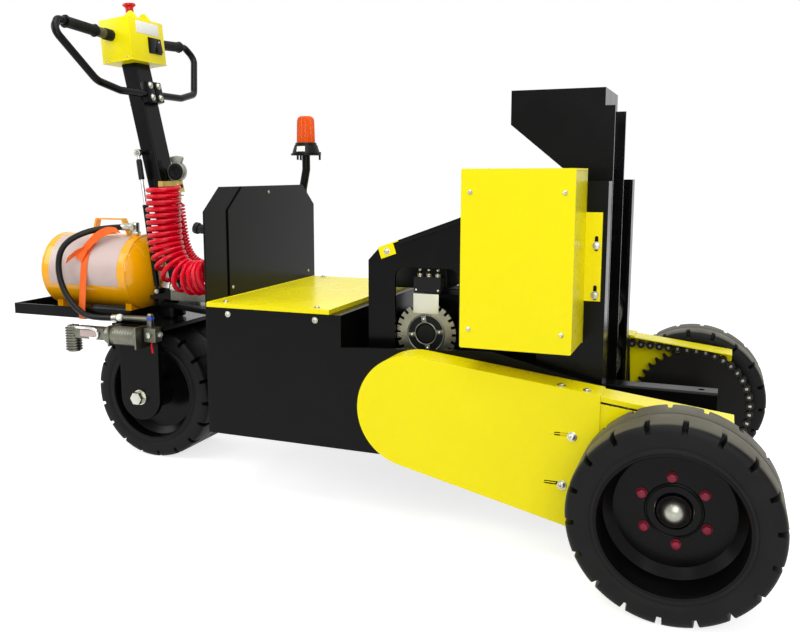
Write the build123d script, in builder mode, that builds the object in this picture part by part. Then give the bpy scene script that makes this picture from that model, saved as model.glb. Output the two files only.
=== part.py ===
"""Electric trailer mover: a walk-behind tug that lifts and steers a parked trailer.

Two chain-driven solid wheels carry a lifting mast at the +X end. A fork with one wide wheel steers
the -X end under a tiller, beside an air tank on a tray. A battery box sits between them.
Units are millimetres, +Z up, the ground at Z zero, X and Y zero at the middle of the machine.
"""

import os
from math import asin, atan2, cos, degrees, hypot, pi, radians, sin, sqrt, tan

from build123d import *

# Overall
TYRE_D = 406.0
TYRE_R = TYRE_D / 2
DRIVE_TYRE_W = 163.0
FRAME_Y = 321.0
GUARD_DEPTH = 84.0
GUARD_Y = FRAME_Y + GUARD_DEPTH
TYRE_CLEAR = 17.0
TRACK_HALF = GUARD_Y + TYRE_CLEAR + DRIVE_TYRE_W
MOTOR_BACK = 597.0
GEARBOX_REACH = 83.0
GEARBOX_BACK = MOTOR_BACK + GEARBOX_REACH
BAY_ROOM = 82.0
BAY_BACK = GEARBOX_BACK + BAY_ROOM
BOX_GAP = 44.0
BOX_FRONT = BAY_BACK + BOX_GAP
BOX_L = 392.0
BOX_BACK = BOX_FRONT + BOX_L
STEER_ROOM = 344.0
WHEELBASE = BOX_BACK + STEER_ROOM
REAR_OVERHANG = 515.0
OVERALL_L = TYRE_R + WHEELBASE + REAR_OVERHANG
AXLE_X = OVERALL_L / 2 - TYRE_R
STEER_X = AXLE_X - WHEELBASE
AXLE_Z = TYRE_R
SEAT_GAP = 0.3
OVERRUN = 2.0

# Tyres and rims
REAR_TYRE_W = 240.0
RIM_R = 145.0
RIM_WALL = 8.0
FLANGE_H = 5.0
FLANGE_T = 7.0
TYRE_SHOULDER = 14.0
TREAD_GROOVE_W = 9.0
TREAD_GROOVE_D = 9.0
NOTCH_COUNT = 18
NOTCH_W = 12.0
NOTCH_DEPTH = 16.0
NOTCH_LENGTH = 34.0
DISC_T = 8.0
DISC_SET_BACK = 93.0
DISH_RISE = 16.0
DISH_R = 118.0
HUB_RING_R = 51.0
HUB_RING_T = 3.0
DISC_BORE_R = 38.0
CAP_R = 30.0
CAP_L = 8.0
CAP_RISE = 22.0
REAR_DISC_Y = 72.0

# Chain drive
CHAIN_PITCH = 25.4
WHEEL_TEETH = 39
DRIVE_TEETH = 17
PLATE_HALF_H = 11.0
CHAIN_GAP = 18.0
LINK_T = 3.5
PIN_R = 4.0
PIN_OUT = 2.5
PIN_CLEAR_SMALL = 52.0
PIN_CLEAR_BIG = 76.0
TOOTH_T = 15.0
TOOTH_UP = 6.0
TOOTH_DOWN = 9.0
TOOTH_TIP_SHARE = 0.16
TOOTH_ROOT_SHARE = 0.56
CHAIN_INSET = 33.0
CHAIN_Y = GUARD_Y - CHAIN_INSET
DRIVER_Z = 323.0
SHAFT_R = 22.0
HUB_R = 50.0
BEARING_R = 48.0
BEARING_T = 18.0
BEARING_CLEAR = 1.0

# Chain guards
GUARD_T = 3.0
GUARD_IN_Y = FRAME_Y + SEAT_GAP
GUARD_REAR_R = 133.5
GUARD_ROUND_AHEAD = 4.5
GUARD_ROUND_DOWN = 4.5
GUARD_TOP_SLOPE = 0.121
GUARD_LOW_SLOPE = 0.225
GUARD_STEEP = 0.36
GUARD_REAR_END = 161.0
GUARD_KNEE = 235.0
GUARD_FRONT_BACK = 245.0
GUARD_FRONT_END = 103.0
GUARD_FRONT_LOW = 22.0
GUARD_FRONT_LOW_X = 60.0
GUARD_LAP = 0.5
GUARD_HUB_HOLE_R = 62.0
GUARD_SLOT_W = 8.0
GUARD_SLOT_L = 46.0
GUARD_SLOTS = ((235.0, 307.0), (254.0, 195.0))
LONG_SLOT_L = 96.0
LONG_SLOT_W = 5.0
LONG_SLOT_BACK = 128.0
LONG_SLOT_DOWN = 13.0

# Frame
FRAME_T = 12.0
FRAME_LOW = 177.0
ARM_R = 58.0
ARM_LOW_X = 640.0
MAST_FRONT = 174.0
ARM_STEP = 6.0
ARM_TOP_X = MAST_FRONT - ARM_STEP
ARM_TOP_Z = 262.0
FRAME_TOP_BACK = 440.0
FRAME_TOP_MID = 460.0
FRAME_MID_X = 420.0
FRAME_FOOT_Z = 400.0
BELLY_T = 8.0
BEAM_H = 62.0

# Battery box
BOX_TOP = 521.0
SHEET = 5.0
LEDGE = 32.0
COVER_T = 3.0
COVER_EDGE = 12.0
BATTERY_ROOM_X = 62.0
BATTERY_L = BOX_L - BATTERY_ROOM_X
BATTERY_ROOM_Y = 82.0
BATTERY_W = 2 * FRAME_Y - BATTERY_ROOM_Y
BATTERY_ROOM_Z = 74.0
BATTERY_H = BOX_TOP - FRAME_LOW - BATTERY_ROOM_Z

# Rear panel and beacon
PANEL_T = 5.0
PANEL_TOP = 836.0
PANEL_INSET = 3.0
PANEL_Y = FRAME_Y - PANEL_INSET
PANEL_CUT_Y = 79.0
PANEL_CUT_Z = 64.0
OVERLAY_INSET = 110.0
OVERLAY_Y = PANEL_Y - OVERLAY_INSET
OVERLAY_T = 4.0
BEACON_INSET = 33.0
BEACON_Y = PANEL_Y - BEACON_INSET
BEACON_R = 30.0
BEACON_LOW = 963.0
BEACON_TOP = 1054.0
BEACON_BASE_R = 37.0
BEACON_BASE_H = 27.0
BEACON_PLATE_R = 49.0
BEACON_PLATE_T = 7.0
POST_R = 13.0
POST_LOW = 760.0
POST_BEND_LOW = 820.0
POST_BEND_TOP = 884.0
POST_BEND_R = 40.0

# Motor bay
BAY_INSET = 75.0
BAY_Y = FRAME_Y - BAY_INSET
BAY_T = 8.0
BAY_CORNER_Z = 655.0
BAY_CHAMFER = 27.0
BAY_SLOPE_X = BAY_BACK - BAY_CHAMFER
BAY_SLOPE_Z = 684.0
BAY_TOP_Z = 834.0
BAY_WINDOW_LOW = 282.0
BAY_WINDOW_TOP = 640.0
BAY_WINDOW_R = 25.0
BAY_TAB_L = 42.0
BAY_TAB_H = 27.0
MOTOR_SET_BACK = 15.0
MOTOR_X = MOTOR_BACK + MOTOR_SET_BACK
MOTOR_Z = 474.0
MOTOR_R = 70.0
BRAKE_R = 78.0
BRAKE_T = 20.0
BRAKE_INSET = 12.0
BRAKE_OUT_Y = BAY_Y - BRAKE_INSET
MOTOR_OUT_Y = BRAKE_OUT_Y - BRAKE_T
WINDOW_AHEAD = 87.0
BAY_WINDOW_BACK = MOTOR_X + BRAKE_R
BAY_WINDOW_FRONT = MOTOR_X - WINDOW_AHEAD
BRAKE_PLATE_T = 7.0
BRAKE_GAP = 5.0
BRAKE_BORE_R = 26.0
BRAKE_RING_R = 42.0
BRAKE_SLOTS = 24
BRAKE_SLOT_W = 7.0
BRAKE_SLOT_D = 11.0
GEARBOX_AHEAD = 67.0
GEARBOX_FRONT = MOTOR_BACK - GEARBOX_AHEAD
GEARBOX_LOW = 255.0
GEARBOX_TOP = 555.0
GEARBOX_IN_Y = 8.0
GEARBOX_OUT_Y = 92.0
OUTPUT_R = 20.0
TERMINAL_L = 70.0
TERMINAL_H = 40.0
TERMINAL_LOW = 575.0
TERMINAL_T = 30.0
TERMINAL_LEG_T = 4.0
STUD_R = 5.0
STUD_H = 14.0

# Mast
MAST_INSET = 36.0
MAST_Y = FRAME_Y - MAST_INSET
MAST_FLANGE = 56.0
MAST_T = 8.0
MAST_DEPTH = 151.0
MAST_BACK = MAST_FRONT + MAST_DEPTH
MAST_TOP = 852.0
TIE_H = 60.0
TIE_LOW_SHARE = 0.52

# Lifting carriage
CAR_Y = 119.0
CAR_T = 9.0
CAR_STEP = 12.0
CAR_FRONT = MAST_FRONT + CAR_STEP
CAR_DEPTH = 114.0
CAR_BACK = CAR_FRONT + CAR_DEPTH
CAR_LOW = 268.0
CAR_TOP = 1028.0
HOOD_STEP = 23.0
HOOD_FRONT = CAR_FRONT + HOOD_STEP
HOOD_L = 225.0
HOOD_BACK = HOOD_FRONT + HOOD_L
HOOD_LOW = 988.0
HOOD_UNDER_Z = 878.0
HOOD_TOP = 1070.0
HOOD_T = 10.0
WEB_T = 8.0
WEB_TOP_H = 182.0
WEB_LOW_H = 235.0
ROLLER_CLEAR = 5.5
ROLLER_R = MAST_DEPTH / 2 - MAST_T - ROLLER_CLEAR
ROLLER_INSET = 15.0
ROLLER_OUT_Y = MAST_Y - ROLLER_INSET
ROLLER_T = 75.0
ROLLER_IN_Y = ROLLER_OUT_Y - ROLLER_T
ROLLER_PIN_R = 16.0
ROLLER_ZS = (340.0, 480.0)
BAR = 60.0
BAR_WALL = 6.0
BAR_CORNER = 6.0
BAR_END = 70.0
BAR_Z = 306.0
BAR_HOLE_R = 8.0
BAR_HOLE_BACK = 38.0
CYL_STEP = 88.0
CYL_X = MAST_FRONT + CYL_STEP
CYL_R = 34.0
CYL_BORE_R = 28.0
CYL_TOP = 640.0
ROD_R = 20.0
ROD_FIT = 1.0
GLAND_H = 30.0
CROSSHEAD_Z = 690.0
CROSSHEAD_T = 16.0

# Pump cover
PUMP_STEP = 46.0
PUMP_FRONT = MAST_FRONT + PUMP_STEP
PUMP_L = 244.0
PUMP_BACK = PUMP_FRONT + PUMP_L
PUMP_DEPTH = 150.0
PUMP_LOW = 490.0
PUMP_TOP = 880.0
PUMP_SHEET = 3.0
PUMP_CORNER_R = 4.0
BRACKET_T = 5.0
TAB_STEP = 10.0
TAB_FRONT = MAST_FRONT + TAB_STEP
TAB_LOW = 586.0
TAB_TOP = 784.0
SLOT_H = 34.0
SLOT_W = 8.0
SLOT_INSET = 12.0
SLOT_ZS = (715.0, 605.0)
UNIT_L = 150.0
UNIT_W = 100.0
UNIT_H = 260.0

# Steering head and fork
CROWN_CLEAR = 6.0
CROWN_LOW = TYRE_D + CROWN_CLEAR
CROWN_T = 12.0
CROWN_HALF = 95.0
LEG_ROOM = 52.0
LEG_Y = REAR_TYRE_W / 2 + LEG_ROOM
LEG_T = 16.0
LEG_HALF = 70.0
NUT_AF = 34.0
NUT_H = 20.0
WASHER_R = 23.0
WASHER_T = 4.0
AXLE_R = 14.0
HEAD_R = 44.0
HEAD_CLEAR = 6.0
HEAD_LOW = CROWN_LOW + CROWN_T + HEAD_CLEAR
HEAD_H = 34.0
HEAD_PLATE_LOW = HEAD_LOW + HEAD_H
HEAD_PLATE_T = 16.0
HEAD_PLATE_HALF = 95.0
HEAD_END = 54.0
STEM_R = 24.0
STEM_FIT = 1.0
YOKE_LOW = HEAD_PLATE_LOW + HEAD_PLATE_T + HEAD_CLEAR
YOKE_T = 10.0
YOKE_BACK = 42.0
PIVOT_AHEAD = 52.0
PIVOT_UP = 40.0
PIVOT_Z = YOKE_LOW + PIVOT_UP
PIVOT_PIN_R = 9.0
YOKE_EAR_T = 8.0
YOKE_TAIL = 15.0
YOKE_TAIL_H = 25.0
YOKE_EAR_R = 22.0
EAR_GAP = 5.5

# Tray, tank and air gear
TRAY_Y = 135.0
TRAY_FRONT = 53.0
TRAY_LOW = CROWN_LOW + CROWN_T
TRAY_H = 34.0
TRAY_TOP = TRAY_LOW + TRAY_H
TRAY_T = 5.0
TANK_R = 118.0
TANK_LIFT = 21.0
TANK_Z = TRAY_LOW + TANK_LIFT + TANK_R
TANK_BACK = 406.0
TANK_FRONT = 90.0
DOME_L = 57.0
FOOT_W = 22.0
FOOT_HALF = 70.0
HANDLE_BACK = 292.0
HANDLE_FRONT = 144.0
HANDLE_UP = 50.0
HANDLE_W = 22.0
HANDLE_T = 5.0
PORT_BACK = 104.0
PORT_Y = -30.0
PORT_R = 12.0
PORT_UP = 36.0
PORT_TOP = TANK_Z + TANK_R + PORT_UP
BEND_SHARE = 0.45
HOSE_R = 9.5
HOSE_PATH = (
    (117.0, -30.0, 706.0),
    (190.0, -36.0, 705.0),
    (252.0, -95.0, 692.0),
    (303.0, -140.0, 652.0),
    (318.0, -147.0, 580.0),
    (294.0, -149.0, 502.0),
    (232.0, -150.0, 440.0),
    (160.0, -150.0, 431.0),
    (84.0, -150.0, 437.0),
)
COIL_R = 55.0
COIL_Y = -115.0
COIL_PATH = ((74.0, 830.0), (66.0, 695.0), (92.0, 592.0), (160.0, 554.0), (224.0, 569.0))
COMP_R = 30.0
COMP_Y = -206.0
COMP_Z = 396.0
COMP_BACK = 83.0
COMP_FRONT = -42.0
COMP_FLANGE_T = 6.0
COMP_FLANGE_H = 66.0
COMP_STRAP_BACK = 56.0
PUMP_BODY_TOP = 418.0
PUMP_BODY_L = 130.0
PUMP_BODY_H = 40.0
PUMP_HEAD_R = 25.0
PUMP_HEAD_LOW = 336.0
COUPLING_R = 9.5
COUPLING_END = (-55.0, -182.5, 446.0)
COUPLING_GAP = 2.4
ELBOW_R = 10.0
ELBOW_TOP = 458.0
VALVE_L = 44.0
VALVE_W = 35.0
VALVE_LOW = 383.0
VALVE_SET_IN = 12.0
ARM_T = 6.0
ARM_H = 38.0
ARM_BACK = 12.0
MANIFOLD_W = 85.0
MANIFOLD_H = 30.0
MANIFOLD_T = 26.0

# Tiller
LEAN = 12.7
COL_W = 76.2
COL_D = 50.8
COL_WALL = 4.0
COL_CORNER = 5.0
COL_UP = 714.0
COL_DOWN = 14.0
HOSE_BLOCK_UP = 284.0
HOSE_BLOCK_H = 34.0
HOSE_BLOCK_W = 30.0
HOSE_BLOCK_D = 36.0
HOSE_BLOCK_Y = 10.0
GLAD_NECK_W = 18.0
GLAD_R = 22.0
GLAD_T = 16.0
GLAD_UP = 31.0
GLAD_OUT = 25.0
HOOK_END = -80.0
HOOK_W = 16.0
HOOK_LIFT = 3.3
LOOP_R = 11.0
LOOP_GAP = 1.2
LOOP_LEAN = 24.6
LOOP_Z = 1113.0
GRIP_R = 16.0
GRIP_L = 125.0
GRIP_START = 40.0
CONTROL_W = 170.0
CONTROL_D = 110.0
CONTROL_H = 158.0
CONTROL_R = 5.0
CONTROL_LEAN = 5.0
CONTROL_Z = 1283.0
CONTROL_BACK = 108.0
MUSHROOM_R = 20.0
MUSHROOM_H = 12.0
MUSHROOM_STEM_R = 9.0
MUSHROOM_STEM_H = 14.0
STRUT_Y = 62.0
STRUT_TOP_BACK = 58.0
STRUT_TOP_Z = 935.0
STRUT_LOW_BACK = 4.0
STRUT_STUD_UP = 26.0
STRUT_LOW_Z = YOKE_LOW + STRUT_STUD_UP
STRUT_TUBE_R = 9.0
STRUT_ROD_R = 5.0
STRUT_TUBE_L = 250.0
STRUT_NECK_L = 16.0
STRUT_PIN_R = 5.0
STRUT_EYE_R = 10.0
STRUT_EYE_T = 9.0
STRUT_PIN_END = 69.0
STRUT_LOW_FIT = 0.08
STRUT_TOP_FIT = 1.4


def frame_x(behind_axle):
    """X of a place given as its distance behind the drive axle."""
    return AXLE_X - behind_axle


def steer_x(behind_axis):
    """X of a place given as its distance behind the steering axis."""
    return STEER_X - behind_axis


def sprocket_r(teeth):
    """Pitch radius of a sprocket for the chain."""
    return CHAIN_PITCH / (2 * sin(pi / teeth))


def tooth_points(teeth, centre_x, centre_z):
    """Outline of a sprocket as straight-sided teeth round a centre."""
    pitch_r = sprocket_r(teeth)
    step = 2 * pi / teeth
    points = []
    for tooth in range(teeth):
        middle = tooth * step
        for share, radius in (
            (-TOOTH_ROOT_SHARE / 2, pitch_r - TOOTH_DOWN),
            (-TOOTH_TIP_SHARE / 2, pitch_r + TOOTH_UP),
            (TOOTH_TIP_SHARE / 2, pitch_r + TOOTH_UP),
            (TOOTH_ROOT_SHARE / 2, pitch_r - TOOTH_DOWN),
        ):
            angle = middle + share * step
            points.append((centre_x + radius * cos(angle), centre_z + radius * sin(angle)))
    return points


def cap_middle(radius, rise):
    """Offset past the base and height off the axis of the middle of a spherical cap's arc."""
    sphere_r = (radius**2 + rise**2) / (2 * rise)
    half_turn = asin(radius / sphere_r) / 2
    return sphere_r * cos(half_turn) - sphere_r + rise, sphere_r * sin(half_turn)


def keep(builder, label):
    """Label a finished piece and write its file."""
    builder.part.label = label
    export_step(builder.part, f"parts/{label}.step")


os.makedirs("parts", exist_ok=True)
TALL = TYRE_D
WHEEL_SIDES = (("r", -1), ("l", 1))

# Drive tyres: solid rubber with a centre groove and staggered shoulder notches
for side, way in WHEEL_SIDES:
    outer_y = TRACK_HALF
    inner_y = TRACK_HALF - DRIVE_TYRE_W
    middle_y = (outer_y + inner_y) / 2
    with BuildPart() as drive_tyre:
        with BuildSketch(Plane.YZ.offset(AXLE_X)) as tyre_section:
            with BuildLine():
                Polyline(
                    (inner_y, AXLE_Z + RIM_R + SEAT_GAP),
                    (outer_y, AXLE_Z + RIM_R + SEAT_GAP),
                    (outer_y, AXLE_Z + TYRE_R - TYRE_SHOULDER),
                    (outer_y - TYRE_SHOULDER, AXLE_Z + TYRE_R),
                    (middle_y + TREAD_GROOVE_W / 2, AXLE_Z + TYRE_R),
                    (middle_y, AXLE_Z + TYRE_R - TREAD_GROOVE_D),
                    (middle_y - TREAD_GROOVE_W / 2, AXLE_Z + TYRE_R),
                    (inner_y + TYRE_SHOULDER, AXLE_Z + TYRE_R),
                    (inner_y, AXLE_Z + TYRE_R - TYRE_SHOULDER),
                    close=True,
                )
            make_face()
        revolve(axis=Axis((AXLE_X, 0, AXLE_Z), (0, 1, 0)))
        for edge_y, turn_share in ((outer_y, 0), (inner_y, 0.5)):
            turn = turn_share * 360 / NOTCH_COUNT
            with BuildSketch(Plane.XZ.offset(-edge_y + NOTCH_LENGTH / 2)):
                with Locations((AXLE_X, AXLE_Z)):
                    with PolarLocations(TYRE_R, NOTCH_COUNT, start_angle=turn):
                        Rectangle(2 * NOTCH_DEPTH, NOTCH_W)
            extrude(amount=NOTCH_LENGTH / 2, both=True, mode=Mode.SUBTRACT)
        if way < 0:
            mirror(about=Plane.XZ, mode=Mode.REPLACE)
    keep(drive_tyre, f"drive_tyre_{side}")

# Drive rims: a flanged barrel with a deeply dished disc
for side, way in WHEEL_SIDES:
    outer_y = TRACK_HALF - FLANGE_T
    inner_y = TRACK_HALF - DRIVE_TYRE_W + FLANGE_T
    disc_y = TRACK_HALF - DISC_SET_BACK
    barrel_r = RIM_R - RIM_WALL
    with BuildPart() as drive_rim:
        with BuildSketch(Plane.YZ.offset(AXLE_X)):
            with BuildLine():
                Polyline(
                    (inner_y, AXLE_Z + barrel_r),
                    (disc_y - DISC_T + DISH_RISE, AXLE_Z + barrel_r),
                    (disc_y - DISC_T, AXLE_Z + DISH_R),
                    (disc_y - DISC_T, AXLE_Z + DISC_BORE_R),
                    (disc_y, AXLE_Z + DISC_BORE_R),
                    (disc_y, AXLE_Z + DISH_R),
                    (disc_y + DISH_RISE, AXLE_Z + barrel_r),
                    (outer_y, AXLE_Z + barrel_r),
                    (outer_y + FLANGE_T, AXLE_Z + RIM_R - FLANGE_H),
                    (outer_y + FLANGE_T, AXLE_Z + RIM_R),
                    (inner_y - FLANGE_T, AXLE_Z + RIM_R),
                    (inner_y - FLANGE_T, AXLE_Z + RIM_R - FLANGE_H),
                    close=True,
                )
            make_face()
        revolve(axis=Axis((AXLE_X, 0, AXLE_Z), (0, 1, 0)))
        with BuildSketch(Plane.XZ.offset(-disc_y)):
            with Locations((AXLE_X, AXLE_Z)):
                Circle(HUB_RING_R)
                Circle(DISC_BORE_R, mode=Mode.SUBTRACT)
        extrude(amount=-HUB_RING_T)
        if way < 0:
            mirror(about=Plane.XZ, mode=Mode.REPLACE)
    keep(drive_rim, f"drive_rim_{side}")

# Drive hubs: stub shaft, barrel and domed cap on one turning axis
for side, way in WHEEL_SIDES:
    disc_y = TRACK_HALF - DISC_SET_BACK
    barrel_start = CHAIN_Y + TOOTH_T / 2
    shaft_start = FRAME_Y - FRAME_T - BEARING_T
    with BuildPart() as drive_hub:
        with BuildSketch(Plane.YZ.offset(AXLE_X)):
            with BuildLine():
                Polyline(
                    (shaft_start, AXLE_Z),
                    (shaft_start, AXLE_Z + SHAFT_R),
                    (barrel_start, AXLE_Z + SHAFT_R),
                    (barrel_start, AXLE_Z + HUB_R),
                    (disc_y - DISC_T, AXLE_Z + HUB_R),
                    (disc_y - DISC_T, AXLE_Z + CAP_R),
                    (disc_y + CAP_L, AXLE_Z + CAP_R),
                )
                along, up = cap_middle(CAP_R, CAP_RISE)
                ThreePointArc(
                    (disc_y + CAP_L, AXLE_Z + CAP_R),
                    (disc_y + CAP_L + along, AXLE_Z + up),
                    (disc_y + CAP_L + CAP_RISE, AXLE_Z),
                )
                Line((disc_y + CAP_L + CAP_RISE, AXLE_Z), (shaft_start, AXLE_Z))
            make_face()
        revolve(axis=Axis((AXLE_X, 0, AXLE_Z), (0, 1, 0)))
        if way < 0:
            mirror(about=Plane.XZ, mode=Mode.REPLACE)
    keep(drive_hub, f"drive_hub_{side}")

# Wheel sprockets, bolted to the inner ends of the hubs
for side, way in WHEEL_SIDES:
    with BuildPart() as wheel_sprocket:
        with BuildSketch(Plane.XZ.offset(-CHAIN_Y - TOOTH_T / 2)):
            with BuildLine():
                Polyline(*tooth_points(WHEEL_TEETH, AXLE_X, AXLE_Z), close=True)
            make_face()
            with Locations((AXLE_X, AXLE_Z)):
                Circle(SHAFT_R + SEAT_GAP, mode=Mode.SUBTRACT)
        extrude(amount=TOOTH_T)
        if way < 0:
            mirror(about=Plane.XZ, mode=Mode.REPLACE)
    keep(wheel_sprocket, f"wheel_sprocket_{side}")

# Drive sprockets on the gearbox output shafts
DRIVER_X = frame_x(MOTOR_BACK)
for side, way in WHEEL_SIDES:
    with BuildPart() as drive_sprocket:
        with BuildSketch(Plane.XZ.offset(-CHAIN_Y - TOOTH_T / 2)):
            with BuildLine():
                Polyline(*tooth_points(DRIVE_TEETH, DRIVER_X, DRIVER_Z), close=True)
            make_face()
        extrude(amount=TOOTH_T)
        with BuildSketch(Plane.XZ.offset(-GEARBOX_OUT_Y - SEAT_GAP)):
            with Locations((DRIVER_X, DRIVER_Z)):
                Circle(OUTPUT_R)
        extrude(amount=-(CHAIN_Y + TOOTH_T - GEARBOX_OUT_Y - SEAT_GAP))
        if way < 0:
            mirror(about=Plane.XZ, mode=Mode.REPLACE)
    keep(drive_sprocket, f"drive_sprocket_{side}")

# Chain geometry: two tangent runs round the two pitch circles
BIG_R = sprocket_r(WHEEL_TEETH)
SMALL_R = sprocket_r(DRIVE_TEETH)
CENTRE_D = hypot(AXLE_X - DRIVER_X, AXLE_Z - DRIVER_Z)
CENTRE_ANGLE = atan2(AXLE_Z - DRIVER_Z, AXLE_X - DRIVER_X)
SPREAD = asin((BIG_R - SMALL_R) / CENTRE_D)
RUN_L = sqrt(CENTRE_D**2 - (BIG_R - SMALL_R) ** 2)


def chain_outline(grow):
    """Draw the chain's loop, grown outwards from the pitch line, in the open BuildLine."""
    up = CENTRE_ANGLE + pi / 2 + SPREAD
    low = CENTRE_ANGLE - pi / 2 - SPREAD
    small = SMALL_R + grow
    big = BIG_R + grow
    small_up = (DRIVER_X + small * cos(up), DRIVER_Z + small * sin(up))
    small_low = (DRIVER_X + small * cos(low), DRIVER_Z + small * sin(low))
    small_back = (DRIVER_X - small * cos(CENTRE_ANGLE), DRIVER_Z - small * sin(CENTRE_ANGLE))
    big_up = (AXLE_X + big * cos(up), AXLE_Z + big * sin(up))
    big_low = (AXLE_X + big * cos(low), AXLE_Z + big * sin(low))
    big_front = (AXLE_X + big * cos(CENTRE_ANGLE), AXLE_Z + big * sin(CENTRE_ANGLE))
    Line(small_up, big_up)
    ThreePointArc(big_up, big_front, big_low)
    Line(big_low, small_low)
    ThreePointArc(small_low, small_back, small_up)


# Drive chains: two strands of side plates, joined by pins on the straight runs
with BuildPart() as drive_chains:
    for strand_y in (CHAIN_Y + CHAIN_GAP / 2, CHAIN_Y - CHAIN_GAP / 2 - LINK_T):
        with BuildSketch(Plane.XZ.offset(-strand_y)):
            with BuildLine():
                chain_outline(PLATE_HALF_H)
            make_face()
            with BuildLine():
                chain_outline(-PLATE_HALF_H)
            make_face(mode=Mode.SUBTRACT)
        extrude(amount=-LINK_T)
    pin_half = CHAIN_GAP / 2 + LINK_T + PIN_OUT
    pin_reaches = [(pin + 0.5) * CHAIN_PITCH for pin in range(0, int(RUN_L / CHAIN_PITCH), 2)]
    for run_way in (1, -1):
        normal = CENTRE_ANGLE + run_way * (pi / 2 + SPREAD)
        start = (DRIVER_X + SMALL_R * cos(normal), DRIVER_Z + SMALL_R * sin(normal))
        along = CENTRE_ANGLE + run_way * SPREAD
        with BuildSketch(Plane.XZ.offset(-CHAIN_Y)):
            for reach in pin_reaches:
                if PIN_CLEAR_SMALL < reach < RUN_L - PIN_CLEAR_BIG:
                    with Locations((start[0] + reach * cos(along), start[1] + reach * sin(along))):
                        Circle(PIN_R)
        extrude(amount=pin_half, both=True)
    mirror(about=Plane.XZ)
keep(drive_chains, "drive_chains")


GUARD_X = DRIVER_X + GUARD_ROUND_AHEAD
GUARD_Z = DRIVER_Z - GUARD_ROUND_DOWN


def guard_lines(inset):
    """Start points of the guard's top and bottom lines on its round end, inset all round."""
    radius = GUARD_REAR_R - inset
    top_turn = pi / 2 - atan2(GUARD_TOP_SLOPE, 1)
    low_turn = -pi / 2 - atan2(GUARD_LOW_SLOPE, 1)
    top_start = (GUARD_X + radius * cos(top_turn), GUARD_Z + radius * sin(top_turn))
    low_start = (GUARD_X + radius * cos(low_turn), GUARD_Z + radius * sin(low_turn))
    return top_start, low_start


def rear_guard_outline(inset):
    """Draw the rear cover's outline, inset all round, in the open BuildLine."""
    top_start, low_start = guard_lines(inset)
    end_x = frame_x(GUARD_REAR_END) + (OVERRUN if inset else 0)
    knee_x = frame_x(GUARD_KNEE)
    top_end = (end_x, top_start[1] - GUARD_TOP_SLOPE * (end_x - top_start[0]))
    knee = (knee_x, low_start[1] - GUARD_LOW_SLOPE * (knee_x - low_start[0]))
    low_end = (end_x, knee[1] - GUARD_STEEP * (end_x - knee_x))
    Polyline(top_start, top_end, low_end, knee, low_start)
    ThreePointArc(low_start, (GUARD_X - GUARD_REAR_R + inset, GUARD_Z), top_start)


def front_guard_outline(inset, cut):
    """Draw the front cover's outline, inset along its top; a cut runs out past its other edges."""
    top_start, low_start = guard_lines(inset)
    lap_low = guard_lines(GUARD_T + GUARD_LAP)[1]
    back_x = frame_x(GUARD_FRONT_BACK)
    knee_x = frame_x(GUARD_KNEE)
    lap_x = frame_x(GUARD_REAR_END)
    bend_x = frame_x(GUARD_FRONT_LOW_X)
    end_x = frame_x(-GUARD_FRONT_END)
    knee_z = lap_low[1] - GUARD_LOW_SLOPE * (knee_x - lap_low[0])
    Polyline(
        (back_x - cut, top_start[1] - GUARD_TOP_SLOPE * (back_x - cut - top_start[0])),
        (end_x + cut, top_start[1] - GUARD_TOP_SLOPE * (end_x + cut - top_start[0])),
        (end_x + cut, GUARD_FRONT_LOW - cut),
        (bend_x, GUARD_FRONT_LOW - cut),
        (lap_x, knee_z - GUARD_STEEP * (lap_x - knee_x) - cut),
        (knee_x, knee_z - cut),
        (back_x - cut, knee_z + GUARD_LOW_SLOPE * (knee_x - back_x + cut) - cut),
        close=True,
    )


# Chain guards, rear halves: folded sheet round the drive sprocket, open towards the frame
with BuildPart() as guard_rear:
    with BuildSketch(Plane.XZ.offset(-GUARD_Y)):
        with BuildLine():
            rear_guard_outline(0)
        make_face()
    extrude(amount=GUARD_Y - GUARD_IN_Y)
    with BuildSketch(Plane.XZ.offset(-GUARD_Y + GUARD_T)):
        with BuildLine():
            rear_guard_outline(GUARD_T)
        make_face()
    extrude(amount=GUARD_Y - GUARD_IN_Y, mode=Mode.SUBTRACT)
    with BuildSketch(Plane.XZ.offset(-GUARD_Y)):
        for slot_back, slot_z in GUARD_SLOTS:
            with Locations((frame_x(slot_back), slot_z)):
                SlotOverall(GUARD_SLOT_L, GUARD_SLOT_W)
    extrude(amount=GUARD_T, mode=Mode.SUBTRACT)
    mirror(about=Plane.XZ)
keep(guard_rear, "guard_rear")

# Chain guards, front halves: they slide inside the rear ones and clear the wheel hubs
with BuildPart() as guard_front:
    lap = GUARD_T + GUARD_LAP
    with BuildSketch(Plane.XZ.offset(-GUARD_Y + lap)):
        with BuildLine():
            front_guard_outline(lap, 0)
        make_face()
        with Locations((AXLE_X, AXLE_Z)):
            Circle(GUARD_HUB_HOLE_R, mode=Mode.SUBTRACT)
    extrude(amount=GUARD_Y - lap - GUARD_IN_Y)
    with BuildSketch(Plane.XZ.offset(-GUARD_Y + lap + GUARD_T)):
        with BuildLine():
            front_guard_outline(lap + GUARD_T, OVERRUN)
        make_face()
    extrude(amount=GUARD_Y - GUARD_IN_Y, mode=Mode.SUBTRACT)
    slot_x = frame_x(LONG_SLOT_BACK)
    top_x, top_z = guard_lines(lap)[0]
    slot_z = top_z - GUARD_TOP_SLOPE * (slot_x - top_x) - LONG_SLOT_DOWN
    with BuildSketch(Plane.XZ.offset(-GUARD_Y + lap)):
        with Locations((slot_x, slot_z)):
            SlotOverall(LONG_SLOT_L, LONG_SLOT_W, rotation=-degrees(atan2(GUARD_TOP_SLOPE, 1)))
    extrude(amount=GUARD_T, mode=Mode.SUBTRACT)
    mirror(about=Plane.XZ)
keep(guard_front, "guard_front")

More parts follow.
